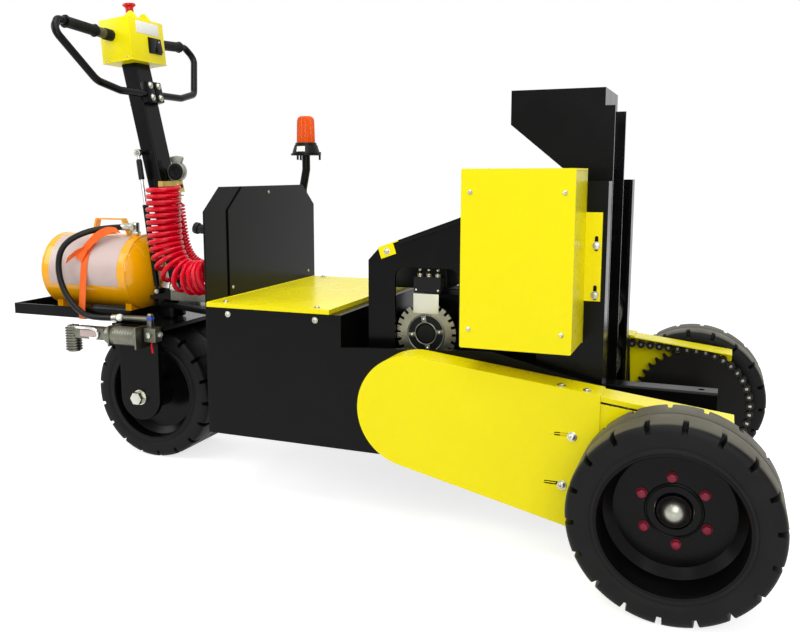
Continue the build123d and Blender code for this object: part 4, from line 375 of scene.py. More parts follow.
CHROME = Finish(
    "hard_chrome_rod",
    "chrome_rod",
    "D9DADA",
    "C6C8C8",
    0.1,
    1.0,
    relief=Relief.BRUSHED,
    grain_mm=0.4,
    bump=0.02,
)
# Solid rubber is matt with mould bloom; its ground faces get dust with painted light from above
TYRE_RUBBER = Finish(
    "moulded_solid_tyre_rubber",
    "tyre_rubber",
    "090A09",
    "131412",
    0.5,
    relief=Relief.MOULDED,
    grain_mm=1.4,
    bump=0.2,
    patch_mm=70,
    level=0.15,
)
# Running on concrete greys the tread with dust, and painted light from above greys it too, all round; the
# walls stay black
TREAD_RUBBER = replace(
    TYRE_RUBBER,
    name="dusty_sheen_solid_tyre_rubber",
    dust_and_sheen="5C594B",
    dust_and_sheen_axle=(AXLE_X, 0, WHEEL_Z),
    dust_and_sheen_from=0.1995,
)
BATTERY_CASE = Finish(
    "moulded_abs_battery_case",
    "battery_case",
    "0C0D0E",
    "121314",
    0.45,
    relief=Relief.MOULDED,
    grain_mm=0.8,
    level=0.18,
)
NYLON = Finish(
    "black_glass_filled_nylon",
    "terminal_plastic",
    "0A0B0B",
    "111213",
    0.4,
    relief=Relief.MOULDED,
    grain_mm=0.7,
    level=0.2,
)
RED_PLASTIC = Finish(
    "glossy_red_acetal",
    "red_plastic",
    "D0081A",
    "BE0616",
    0.2,
    relief=Relief.MOULDED,
    grain_mm=1.0,
    bump=0.02,
    level=0.3,
)
NUT_PLASTIC = Finish(
    "crimson_nylon_nut_cover",
    "red_plastic",
    "8A1730",
    "781228",
    0.34,
    relief=Relief.MOULDED,
    grain_mm=1.0,
    bump=0.06,
    level=0.3,
)
BLUE_PLASTIC = Finish(
    "blue_acetal_collar",
    "terminal_plastic",
    "2A4FC0",
    "2446AE",
    0.3,
    relief=Relief.MOULDED,
    grain_mm=1.0,
    bump=0.05,
)
AMBER_LENS = Finish(
    "amber_polycarbonate_lens",
    "amber_lens",
    "F05A00",
    "E04C00",
    0.14,
    relief=Relief.MOULDED,
    grain_mm=2.0,
    transmission=0.12,
    ior=1.58,
    level=0.15,
)
RED_HOSE = Finish(
    "red_polyurethane_tube",
    "red_hose",
    "DC0021",
    "C8001C",
    0.22,
    relief=Relief.MOULDED,
    bump=0.03,
    level=0.22,
)
BLACK_HOSE = Finish(
    "black_rubber_air_hose",
    "black_hose",
    "0B0C0B",
    "121413",
    0.36,
    relief=Relief.MOULDED,
    grain_mm=1.5,
    bump=0.15,
    level=0.22,
)
GRIP_RUBBER = Finish(
    "black_foam_rubber_grip",
    "grip_rubber",
    "090A0A",
    "101211",
    0.6,
    relief=Relief.MOULDED,
    grain_mm=1.0,
    bump=0.3,
    level=0.16,
)
THROTTLE_RUBBER = Finish(
    "olive_grey_throttle_sleeve",
    "grip_rubber",
    "4A4A38",
    "38382B",
    0.5,
    relief=Relief.MOULDED,
    grain_mm=1.0,
    bump=0.2,
)
# Blank stock: satin film over paper shows a soft sheen, an etched plate a dull grey one
PAPER_LABEL = Finish(
    "blank_satin_film_label",
    "terminal_plastic",
    "CDB7B0",
    "C6B0A9",
    0.4,
    bump=0.02,
    wear=0.1,
)
WHITE_LABEL = Finish(
    "blank_white_film_label",
    "terminal_plastic",
    "F1F0EC",
    "E9E8E2",
    0.35,
    bump=0.02,
    wear=0.1,
)
RATING_PLATE = Finish(
    "blank_etched_rating_plate",
    "bare_steel",
    "D2D2C2",
    "C4C4B2",
    0.42,
    0.35,
    relief=Relief.BRUSHED,
    grain_mm=0.5,
)
# Polyester webbing is dull, and its weave is drawn 2 mm wide so that it shows
STRAP_WEBBING = Finish(
    "orange_woven_polyester_webbing",
    "red_hose",
    "FF7430",
    "F7662A",
    0.75,
    relief=Relief.WOVEN,
    grain_mm=2.0,
    bump=0.5,
    patch_mm=60,
    level=0.2,
)

CAD_FINISHES: dict[str, Finish] = {
    finish.slot: finish
    for finish in (
        BLACK_POWDER,
        YELLOW_POWDER,
        TANK_ENAMEL,
        BLACK_CASTING,
        GREY_CASTING,
        ZINC_STEEL,
        BRASS,
        SPROCKET_STEEL,
        CHROME,
        TYRE_RUBBER,
        BATTERY_CASE,
        NYLON,
        RED_PLASTIC,
        AMBER_LENS,
        RED_HOSE,
        BLACK_HOSE,
        GRIP_RUBBER,
    )
}

# Nodes whose metal differs from the rest of their slot
NODE_FINISHES: dict[str, Finish] = {
    "drive_hub_r": HUB_STEEL,
    "drive_hub_l": HUB_STEEL,
    "motor_brakes": MOTOR_STEEL,
}


def mesh_object(
    name: str, mesh: bpy.types.Mesh, finish: Finish, body: str, stands_for: tuple = ()
) -> bpy.types.Object:
    """Links a finished mesh into the scene as one piece.

    Args:
        name: The piece's name.
        mesh: Its mesh, already in place.
        finish: Its surface finish.
        body: The CAD body it rides on, or nothing where it rides on none.
        stands_for: The CAD nodes that it replaces.

    Returns:
        The piece.
    """
    mesh.materials.clear()
    mesh.materials.append(finish.build())
    mesh.polygons.foreach_set("use_smooth", [True] * len(mesh.polygons))
    mesh.set_sharp_from_angle(angle=radians(CORNER_DEGREES))
    piece = bpy.data.objects.new(name, mesh)
    bpy.context.collection.objects.link(piece)
    if body:
        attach(piece, body)
    if stands_for:
        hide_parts(*stands_for)
    log.info("%s: %d faces", name, len(mesh.polygons))
    return piece


class Workpiece:
    """One piece of the scene, built up from operator-made shapes in one mesh."""

    def __init__(self, name: str) -> None:
        """Starts an empty mesh under the piece's name."""
        self.name = name
        self.shape = bmesh.new()

    def soften(self, verts: list, width: float, segments: int = 2) -> None:
        """Bevels the sharp edges of a new shape.

        Args:
            verts: The shape's vertices.
            width: The bevel's width.
            segments: How many faces round each edge.
        """
        least = radians(BEVEL_DEGREES)
        edges = dict.fromkeys(edge for vert in verts for edge in vert.link_edges)
        bmesh.ops.bevel(
            self.shape,
            geom=[edge for edge in edges if edge.calc_face_angle(0) > least],
            offset=width,
            offset_type="OFFSET",
            segments=segments,
            profile=0.5,
            affect="EDGES",
            material=-1,
            clamp_overlap=True,
        )

    def rod(
        self,
        start: tuple,
        end: tuple,
        radius: float,
        far_radius: float = 0,
        sides: int = 28,
        edge: float = 0,
        turn: float = 0,
    ) -> None:
        """Adds a round bar, a taper or, with six sides, a hexagon.

        Args:
            start: The middle of one end.
            end: The middle of the other end.
            radius: Its radius at the start.
            far_radius: Its radius at the end, where it differs.
            sides: How many sides it has.
            edge: The bevel on its edges.
            turn: Degrees that it is turned about its own line.
        """
        a, b = Vector(start), Vector(end)
        run = b - a
        place = Matrix.Translation((a + b) / 2) @ run.to_track_quat("Z", "Y").to_matrix().to_4x4()
        place = place @ Matrix.Rotation(radians(turn), 4, "Z")
        made = bmesh.ops.create_cone(
            self.shape,
            cap_ends=True,
            segments=sides,
            radius1=radius,
            radius2=far_radius or radius,
            depth=run.length,
            matrix=place,
        )
        if edge:
            self.soften(made["verts"], edge)

    def block(self, centre: tuple, size: tuple, edge: float = 0, turn: Matrix | None = None) -> None:
        """Adds a rectangular block.

        Args:
            centre: Its middle.
            size: Its three sizes.
            edge: The bevel on its edges.
            turn: How it is turned.
        """
        turned = (turn or Matrix.Identity(3)).to_4x4()
        place = Matrix.Translation(centre) @ turned @ Matrix.Diagonal((*size, 1))
        made = bmesh.ops.create_cube(self.shape, size=1, matrix=place)
        if edge:
            self.soften(made["verts"], edge)

    def lathe(
        self,
        start: tuple,
        axis: Vector,
        profile: list,
        sides: int = 36,
        ring: bool = False,
        angles: tuple | None = None,
    ) -> None:
        """Spins a profile about an axis.

        Args:
            start: Where the axis starts.
            axis: The axis' direction.
            profile: Places along the axis and distances from it.
            sides: Steps in a turn.
            ring: Whether the profile closes on itself.
            angles: Start and sweep in degrees, where it isn't a full turn.
        """
        axis = Vector(axis).normalized()
        out = (Z_AXIS if abs(axis.z) < 0.9 else X_AXIS).cross(axis).normalized()
        if angles:
            out = Matrix.Rotation(radians(angles[0]), 3, axis) @ out
        known = set(self.shape.faces)
        verts = [self.shape.verts.new(Vector(start) + axis * along + out * away) for along, away in profile]
        pairs = list(zip(verts, verts[1:])) + ([(verts[-1], verts[0])] if ring else [])
        edges = [self.shape.edges.new(pair) for pair in pairs]
        bmesh.ops.spin(
            self.shape,
            geom=verts + edges,
            cent=start,
            axis=axis,
            angle=radians(angles[1]) if angles else 2 * pi,
            steps=sides,
            use_merge=not angles,
        )
        made = [face for face in self.shape.faces if face not in known]
        if not angles:
            near = list(dict.fromkeys(vert for face in made for vert in face.verts))
            bmesh.ops.remove_doubles(self.shape, verts=near, dist=1e-6)
            made = [face for face in self.shape.faces if face not in known]
        bmesh.ops.recalc_face_normals(self.shape, faces=made)

    def plate(self, outline: list, thickness: Vector, edge: float = 0) -> None:
        """Adds a flat plate of any outline.

        Args:
            outline: The corners of one face.
            thickness: The way to the other face.
            edge: The bevel on its edges.
        """
        verts = [self.shape.verts.new(place) for place in outline]
        face = bmesh.ops.contextual_create(self.shape, geom=verts)["faces"][0]
        grown = bmesh.ops.extrude_face_region(self.shape, geom=[face], use_keep_orig=True)
        moved = [item for item in grown["geom"] if isinstance(item, bmesh.types.BMVert)]
        bmesh.ops.translate(self.shape, verts=moved, vec=thickness)
        near = list(dict.fromkeys(face for vert in verts + moved for face in vert.link_faces))
        bmesh.ops.recalc_face_normals(self.shape, faces=near)
        if edge:
            self.soften(verts + moved, edge)

    def pipe(self, points: list, radius: float) -> None:
        """Adds a bent pipe along a smooth line."""
        self.take(spline_object("pipe_line", points, radius, 3))

    def take(self, source: bpy.types.Object) -> None:
        """Adds another object's final mesh and removes that object.

        Args:
            source: The object.
        """
        mesh = bpy.data.meshes.new_from_object(source.evaluated_get(bpy.context.evaluated_depsgraph_get()))
        self.shape.from_mesh(mesh)
        bpy.data.meshes.remove(mesh)
        bpy.data.objects.remove(source)

    def dome_bolt(
        self, seat: tuple, axis: tuple, radius: float, washer: float = 0, socket: bool = True
    ) -> None:
        """Adds a round-headed screw, with a washer and a hexagon socket where it has them.

        Args:
            seat: Where the head or washer sits.
            axis: The way that the head points.
            radius: The head's radius.
            washer: The washer's radius.
            socket: Whether the head has a socket.
        """
        lift = 0.0
        if washer:
            lift = WASHER_THICK
            rim = [(0, 0), (0, washer), (lift * 0.8, washer), (lift, washer - 0.0006), (lift, 0)]
            self.lathe(seat, axis, rim, 24)
        height = radius * 0.62
        profile = [(lift - SUNK, 0), (lift - SUNK, radius), (lift + height * 0.3, radius)]
        profile += [(lift + height * 0.72, radius * 0.82), (lift + height, radius * 0.48)]
        if socket:
            profile += [(lift + height * 0.96, radius * 0.4), (lift + height * 0.45, radius * 0.38)]
            profile += [(lift + height * 0.45, 0)]
        else:
            profile += [(lift + height * 1.06, 0)]
        self.lathe(seat, axis, profile, 24)

    def hex_bolt(
        self, seat: tuple, axis: tuple, across: float, height: float, flange: float = 0, stud: float = 0
    ) -> None:
        """Adds a hexagon head or nut.

        Args:
            seat: Where it sits.
            axis: The way that it points.
            across: Size across the flats.
            height: The head's height.
            flange: The flange's or washer's radius.
            stud: How far the thread stands out.
        """
        seat, axis = Vector(seat), Vector(axis).normalized()
        if flange:
            self.rod(seat - axis * SUNK, seat + axis * 0.0018, flange, flange * 0.97, 28)
            seat = seat + axis * 0.0017
        corner = min(0.0012, across * 0.06)
        self.rod(seat - axis * SUNK, seat + axis * height, across / sqrt(3), sides=6, edge=corner)
        if stud:
            self.rod(seat, seat + axis * (height + stud), across * 0.3, sides=18, edge=0.0006)

    def done(self, finish: Finish, body: str, *stands_for: str) -> bpy.types.Object:
        """Turns the mesh into a piece.

        Args:
            finish: Its surface finish.
            body: The CAD body that it rides on.
            stands_for: The CAD nodes that it replaces.

        Returns:
            The piece.
        """
        mesh = bpy.data.meshes.new(self.name)
        self.shape.to_mesh(mesh)
        self.shape.free()
        return mesh_object(self.name, mesh, finish, body, stands_for)


def spline_object(name: str, points: list, radius: float, sides: int = 5) -> bpy.types.Object:
    """Makes a round tube along one open smooth spline.

    Args:
        name: The piece's name.
        points: The spline's control points.
        radius: The tube's radius, or zero for a bare line.
        sides: The bevel's resolution.

    Returns:
        The new curve object.
    """
    data = bpy.data.curves.new(name, "CURVE")
    data.dimensions = "3D"
    data.resolution_u = 8
    data.bevel_depth = radius
    data.bevel_resolution = sides
    data.use_fill_caps = radius > 0
    spline = data.splines.new("NURBS")
    spline.points.add(len(points) - 1)
    for point, place in zip(spline.points, points):
        point.co = (*place, 1)
    spline.order_u = 3
    spline.use_endpoint_u = True
    made = bpy.data.objects.new(name, data)
    bpy.context.collection.objects.link(made)
    return made


def route_points(points: list) -> list[Vector]:
    """Reads a route's smooth line from its spline.

    Args:
        points: The route's control points.

    Returns:
        Points close together along the line.
    """
    route = spline_object("route", points, 0)
    route.data.resolution_u = 48
    bpy.context.view_layer.update()
    mesh = bpy.data.meshes.new_from_object(route)
    places = [vertex.co.copy() for vertex in mesh.vertices]
    bpy.data.objects.remove(route)
    bpy.data.meshes.remove(mesh)
    return places


def line_length(points: list) -> float:
    """Adds up the lengths between neighbouring points."""
    return sum((Vector(b) - Vector(a)).length for a, b in zip(points, points[1:]))


@dataclass
class Studio:
    """Camera, lamps, floor and world."""

    camera_at: tuple[float, float, float] = (0.9898, -2.2113, 0.8694)
    yaw: float = 22.42
    pitch: float = 8.06
    roll: float = -0.16
    lens: float = 38.17
    shift: tuple[float, float] = (0.033, -0.0275)
    floor_half: float = 14.0
    floor_grey: tuple = (0.6, 0.6, 0.6, 1)
    floor_glow: float = 0.74
    room_tint: tuple = (0.97, 0.99, 1, 1)
    room_light: float = 0.5
    # Name, place, aim, size and power of each softbox
    softboxes: tuple = (
        ("top_softbox", (0.3, -0.8, 3.6), (0, 0, 0.4), 3.0, 85),
        ("front_softbox", (1.6, -3.6, 2.0), (0.2, 0, 0.4), 2.2, 55),
        ("left_softbox", (-3.4, -1.6, 2.2), (-0.2, 0, 0.5), 2.0, 40),
    )

    def build(self) -> None:
        """Builds the camera, the floor, the world and the lamps."""
        self._camera()
        self._floor()
        self._world()
        self._lamps()

    def _camera(self) -> None:
        """Sets the camera at the photograph's viewing angle."""
        data = bpy.data.cameras.new("camera")
        data.lens = self.lens
        data.shift_x, data.shift_y = self.shift
        data.clip_end = 100
        camera = bpy.data.objects.new("camera", data)
        turn = Matrix.Rotation(radians(self.yaw), 4, "Z") @ Matrix.Rotation(radians(90 - self.pitch), 4, "X")
        turn = turn @ Matrix.Rotation(radians(self.roll), 4, "Z")
        camera.matrix_world = Matrix.Translation(self.camera_at) @ turn
        bpy.context.collection.objects.link(camera)
        bpy.context.scene.camera = camera

    @staticmethod
    def _seen(tree: bpy.types.NodeTree) -> bpy.types.NodeSocket:
        """Adds a factor that is 1 for camera, glossy and transmission rays.

        Args:
            tree: The node tree.

        Returns:
            The factor's socket.
        """
        path = add_node(tree, "LightPath")
        rays = {0: path.outputs["Is Camera Ray"], 1: path.outputs["Is Glossy Ray"]}
        seen = add_node(tree, "Math", rays, operation="MAXIMUM")
        rays = {0: seen.outputs[0], 1: path.outputs["Is Transmission Ray"]}
        return add_node(tree, "Math", rays, operation="MAXIMUM").outputs[0]

    def _floor(self) -> None:
        """Lays a plain pale floor that is white to the camera but takes the shadow."""
        mesh = bpy.data.meshes.new("floor")
        shape = bmesh.new()
        bmesh.ops.create_grid(shape, x_segments=1, y_segments=1, size=self.floor_half)
        shape.to_mesh(mesh)
        shape.free()
        floor = bpy.data.objects.new("floor", mesh)
        bpy.context.collection.objects.link(floor)
        material = bpy.data.materials.new("floor_white_vinyl")
        material.use_nodes = True
        tree = material.node_tree
        tree.nodes.clear()
        plain = add_node(tree, "BsdfDiffuse", {"Color": self.floor_grey})
        lit = add_node(tree, "BsdfDiffuse", {"Color": self.floor_grey})
        glow = add_node(tree, "Emission", {"Color": (1, 1, 1, 1), "Strength": self.floor_glow})
        both = add_node(tree, "AddShader", {0: lit.outputs[0], 1: glow.outputs[0]})
        mix = add_node(tree, "MixShader", {0: self._seen(tree), 1: plain.outputs[0], 2: both.outputs[0]})
        add_node(tree, "OutputMaterial", {"Surface": mix.outputs[0]})
        mesh.materials.append(material)

    def _world(self) -> None:
        """Gives an even dim studio, white where the camera or a mirror sees it."""
        world = bpy.data.worlds.new("studio")
        bpy.context.scene.world = world
        world.use_nodes = True
        tree = world.node_tree
        tree.nodes.clear()
        dim = add_node(tree, "Background", {"Color": self.room_tint, "Strength": self.room_light})
        white = add_node(tree, "Background", {"Color": (1, 1, 1, 1), "Strength": 1.0})
        mix = add_node(tree, "MixShader", {0: self._seen(tree), 1: dim.outputs[0], 2: white.outputs[0]})
        add_node(tree, "OutputWorld", {"Surface": mix.outputs[0]})

    def _lamps(self) -> None:
        """Hangs a large top softbox and two side softboxes."""
        for name, at, aim, size, power in self.softboxes:
            data = bpy.data.lights.new(name, "AREA")
            data.shape = "SQUARE"
            data.size = size
            data.energy = power
            lamp = bpy.data.objects.new(name, data)
            lamp.location = at
            lamp.rotation_euler = (Vector(aim) - Vector(at)).to_track_quat("-Z", "Y").to_euler()
            bpy.context.collection.objects.link(lamp)


@dataclass
class AirLines:
    """The coiled supply hose, the thin pilot coil behind it, the tank's plain hose and their ends."""

    coil_route: tuple = (
        (-0.545, -0.115, 0.832),
        (-0.553, -0.115, 0.695),
        (-0.527, -0.115, 0.596),
        (-0.459, -0.115, 0.558),
        (-0.393, -0.115, 0.574),
    )
    tank_route: tuple = (
        (-0.732, -0.030, 0.706),
        (-0.805, -0.036, 0.705),
        (-0.867, -0.095, 0.692),
        (-0.918, -0.140, 0.652),
        (-0.933, -0.147, 0.580),
        (-0.909, -0.149, 0.502),
        (-0.847, -0.150, 0.440),
        (-0.775, -0.150, 0.431),
        (-0.699, -0.150, 0.437),
    )
    coil_r: float = 0.0460
    coil_tube_r: float = 0.0073
    pitch: float = 0.0186
    bend_share: float = 1.02
    points_per_turn: int = 14
    tank_hose_r: float = 0.0095
    blend_low: tuple = (-0.540, -0.115, 0.600)
    blend_high: tuple = (-0.545, -0.115, 0.820)
    pilot_route: tuple = (
        (-0.5760, 0.009, 0.772),
        (-0.5640, 0.000, 0.715),
        (-0.5440, -0.014, 0.650),
        (-0.5050, -0.030, 0.607),
        (-0.4550, -0.036, 0.594),
        (-0.4150, -0.040, 0.590),
    )
    pilot_lead: tuple = ((-0.5783, 0.010, 0.7912), (-0.5777, 0.0098, 0.783))
    pilot_tail: tuple = ((-0.398, -0.046, 0.592), (-0.382, -0.058, 0.582), (-0.3780, -0.062, 0.5445))
    pilot_blend_low: tuple = (-0.500, -0.030, 0.604)
    pilot_blend_high: tuple = (-0.576, 0.009, 0.775)
    pilot_r: float = 0.0122
    pilot_tube_r: float = 0.0034
    pilot_pitch: float = 0.0106
    first_angle: float = 0.6
    # Start, end, radius, sides and edge of each step of the port's elbow
    port_steps: tuple = (
        ((-0.719, -0.030, 0.6835), (-0.719, -0.030, 0.692), 0.0165, 6, 0.0008),
        ((-0.719, -0.030, 0.691), (-0.719, -0.030, 0.7205), 0.0132, 28, 0.0015),
        ((-0.7195, -0.030, 0.706), (-0.741, -0.0303, 0.706), 0.0118, 6, 0.0008),
        ((-0.740, -0.0303, 0.706), (-0.768, -0.0325, 0.7058), 0.0112, 28, 0.0012),
        ((-0.7185, -0.030, 0.7065), (-0.7185, -0.052, 0.7065), 0.0098, 20, 0.001),
    )
    # Along the hose from its end, and away from its middle
    ferrule: tuple = ((0, 0.0097), (0, 0.0114), (0.02, 0.0114), (0.025, 0.0104), (0.026, 0.0095))
    coupling_from: tuple = (-0.699, -0.150, 0.437)
    coupling_to: tuple = (-0.670, -0.1825, 0.446)
    # Start, length, radius and sides of each step between ferrule and coupling
    coupling_steps: tuple = ((0.003, 0.012, 0.0122, 6), (0.020, 0.004, 0.0112, 28))
    collar_steps: tuple = (0.0165, 0.0205)
    valve_collar: tuple = ((-0.560, -0.1825, 0.4445), (-0.560, -0.1825, 0.4535))
    collar_r: float = 0.0116

    def build(self) -> None:
        """Builds the tank hose, the two coiled hoses and their ends."""
        self._tank_hose()
        supply = self._helix(self.coil_route, self.coil_r, self.coil_tube_r, self.pitch)
        self._coil("coil_hose_tube", supply, self.coil_tube_r, ("coil_hose",))
        lead, tail = [[Vector(place) for place in run] for run in (self.pilot_lead, self.pilot_tail)]
        pilot = self._helix(self.pilot_route, self.pilot_r, self.pilot_tube_r, self.pilot_pitch)
        self._coil("pilot_coil_tube", lead + pilot + tail, self.pilot_tube_r)
        self._ends()

    def _tank_hose(self) -> None:
        """Bends the plain rubber hose from the tank's port round to the quick coupling."""
        hose = spline_object("tank_hose_rubber", list(self.tank_route), self.tank_hose_r)
        hose.data.materials.append(BLACK_HOSE.build())
        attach(hose, "steering")
        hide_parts("tank_hose")
        length = line_length(route_points(list(self.tank_route)))
        log.info("tank hose built, %.2f m", length)

    def _coil(self, name: str, turns: list, radius: float, stands_for: tuple = ()) -> None:
        """Draws a coiled hose along its turns, in the scene's own frame and on no body.

        Args:
            name: The hose's name.
            turns: Points along it.
            radius: The tube's radius.
            stands_for: The CAD nodes that it replaces.
        """
        curve = spline_object("coil_line", turns, radius, 3)
        curve.data.resolution_u = 3
        bpy.context.view_layer.update()
        mesh = bpy.data.meshes.new_from_object(curve)
        mesh.name = name
        bpy.data.objects.remove(curve)
        line = route_points(turns)
        hose = mesh_object(name, mesh, RED_HOSE, "", stands_for)
        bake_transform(hose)

    def _helix(self, route: tuple, coil_r: float, tube_r: float, pitch: float) -> list[Vector]:
        """Winds turns round a route, with the pitch that each bend needs.

        Args:
            route: The control points of the coil's middle line.
            coil_r: The radius that the tube is wound to.
            tube_r: The tube's radius.
            pitch: The least distance between turns.

        Returns:
            The helix's points.
        """
        line = route_points(list(route))
        last = len(line) - 1
        least = 2 * tube_r * self.bend_share
        phase = [0.0]
        tangents = [(line[min(i + 6, last)] - line[max(i - 6, 0)]).normalized() for i in range(last + 1)]
        for i in range(last):
            step = (line[i + 1] - line[i]).length
            low, high = max(i - 6, 0), min(i + 7, last)
            bend = tangents[low].angle(tangents[high], 0) / max(line_length(line[low : high + 1]), 1e-6)
            phase.append(phase[-1] + step / max(pitch, least / max(1 - bend * coil_r, 0.3)))
        count = int(phase[-1] * self.points_per_turn)
        wound = []
        index = 0
        for i in range(count + 1):
            reach = i / self.points_per_turn
            while index < last - 1 and phase[index + 1] < reach:
                index += 1
            share = min(1.0, (reach - phase[index]) / (phase[index + 1] - phase[index]))
            centre = line[index].lerp(line[index + 1], share)
            along = tangents[index].lerp(tangents[index + 1], share).normalized()
            out = along.cross(Y_AXIS).normalized()
            angle = 2 * pi * reach + self.first_angle
            wound.append(centre + coil_r * (cos(angle) * Y_AXIS + sin(angle) * out))
        log.info("coil has %.1f turns", phase[-1])
        return wound

    def _ends(self) -> None:
        """Crimps a ferrule on the tank hose's coupling end, fits the blue collars and screws the port's
        fitting on.
        """
        port = Workpiece("tank_port_fitting")
        for start, end, radius, sides, edge in self.port_steps:
            port.rod(start, end, radius, sides=sides, edge=edge)
        port.done(ZINC_STEEL, "steering")
        crimp = Workpiece("tank_hose_ferrule")
        start, end = Vector(self.coupling_from), Vector(self.coupling_to)
        way = (end - start).normalized()
        back = (Vector(self.tank_route[-2]) - start).normalized()
        crimp.lathe(start + back * 0.024, -back, list(self.ferrule))
        for reach, length, radius, sides in self.coupling_steps:
            crimp.rod(start + way * reach, start + way * (reach + length), radius, sides=sides, edge=0.0007)
        crimp.done(ZINC_STEEL, "steering")
        collar = Workpiece("coupling_collar")
        low, high = self.collar_steps
        collar.rod(start + way * low, start + way * high, self.collar_r, edge=0.0008)
        collar.rod(*self.valve_collar, self.collar_r, edge=0.0012)
        collar.done(BLUE_PLASTIC, "steering")


@dataclass
class Tyre:
    """A solid tyre with a grooved tread, shoulder notches and moulded rings on its walls."""

    name: str
    node: str
    body: str
    centre: tuple[float, float, float]
    half: float
    flip: bool = False
    finish: Finish = TYRE_RUBBER
    radius: float = 0.203
    seat_r: float = 0.1453
    notches: int = 18
    notch_turn: float = 5.4
    notch_w: float = 0.015
    notch_d: float = 0.020
    notch_l: float = 0.040
    overcut: float = 0.006
    taper_in: float = 0.62
    taper_end: float = 0.7
    edge_w: float = 0.0016
    edge_degrees: float = 38
    steps: int = 144

    def build(self) -> None:
        """Spins the section, cuts the notches and rounds every edge."""
        bpy.context.view_layer.update()
        blank = self._raw("blank", self._blank())
        cutter = self._raw("cutter", self._cutters())
        cut = blank.modifiers.new("notches", "BOOLEAN")
        cut.operation = "DIFFERENCE"
        cut.solver = "EXACT"
        cut.object = cutter
        soft = blank.modifiers.new("edges", "BEVEL")
        soft.width = self.edge_w
        soft.segments = 2
        soft.limit_method = "ANGLE"
        soft.angle_limit = radians(self.edge_degrees)
        bpy.context.view_layer.update()
        final = bpy.data.meshes.new_from_object(blank.evaluated_get(bpy.context.evaluated_depsgraph_get()))
        final.name = self.name
        bpy.data.objects.remove(blank)
        bpy.data.objects.remove(cutter)
        mesh_object(self.name, final, self.finish, self.body, (self.node,))

    def _raw(self, name: str, work: Workpiece) -> bpy.types.Object:
        """Makes a working object of a shape.

        Args:
            name: The object's name.
            work: The shape, which this frees.

        Returns:
            The object.
        """
        mesh = bpy.data.meshes.new(name)
        work.shape.to_mesh(mesh)
        work.shape.free()
        made = bpy.data.objects.new(name, mesh)
        bpy.context.collection.objects.link(made)
        return made

    def _blank(self) -> Workpiece:
        """Spins the tyre's section about its axle.

        Returns:
            The tyre without its notches.
        """
        work = Workpiece(self.name)
        half, top, seat = self.half, self.radius, self.seat_r
        wall = [
            (half - 0.0005, seat),
            (half, seat + 0.003),
            (half - 0.0006, seat + 0.0065),
            (half - 0.0030, seat + 0.0085),
            (half - 0.0030, seat + 0.0120),
            (half - 0.0012, seat + 0.0150),
            (half, seat + 0.0240),
            (half, top - 0.0160),
            (half - 0.0022, top - 0.0075),
            (half - 0.0080, top - 0.0018),
            (half - 0.0160, top),
            (0.0046, top),
            (0.0020, top - 0.0085),
        ]
        profile = wall + [(-along, away) for along, away in reversed(wall)]
        work.lathe(self.centre, Y_AXIS, profile, self.steps, ring=True)
        return work

    def _cutters(self) -> Workpiece:
        """Sets a tapered cutter at every notch, staggered from side to side.

        Returns:
            All the cutters as one shape.
        """
        work = Workpiece("notch_cutters")
        for edge, share in ((self.half, 0.0), (-self.half, 0.5)):
            if self.flip:
                edge = -edge
            way = 1 if edge > 0 else -1
            for index in range(self.notches):
                angle = -2 * pi * (index + share) / self.notches - radians(self.notch_turn)
                depth, length = self.notch_d + self.overcut, self.notch_l + self.overcut
                reach = self.radius - self.notch_d + depth / 2
                middle = (reach, edge - way * (self.notch_l - self.overcut) / 2, 0)
                turn = Matrix.Rotation(angle, 4, "Y")
                place = Matrix.Translation(self.centre) @ turn @ Matrix.Translation(middle)
                size = Matrix.Diagonal((depth, length, self.notch_w, 1))
                made = bmesh.ops.create_cube(work.shape, size=1, matrix=place @ size)
                inner = place.inverted()
                for vert in made["verts"]:
                    local = inner @ vert.co
                    if local.x < 0:
                        local.z *= self.taper_in
                    if local.y * way < 0:
                        local.z *= self.taper_end
                    vert.co = place @ local
        return work


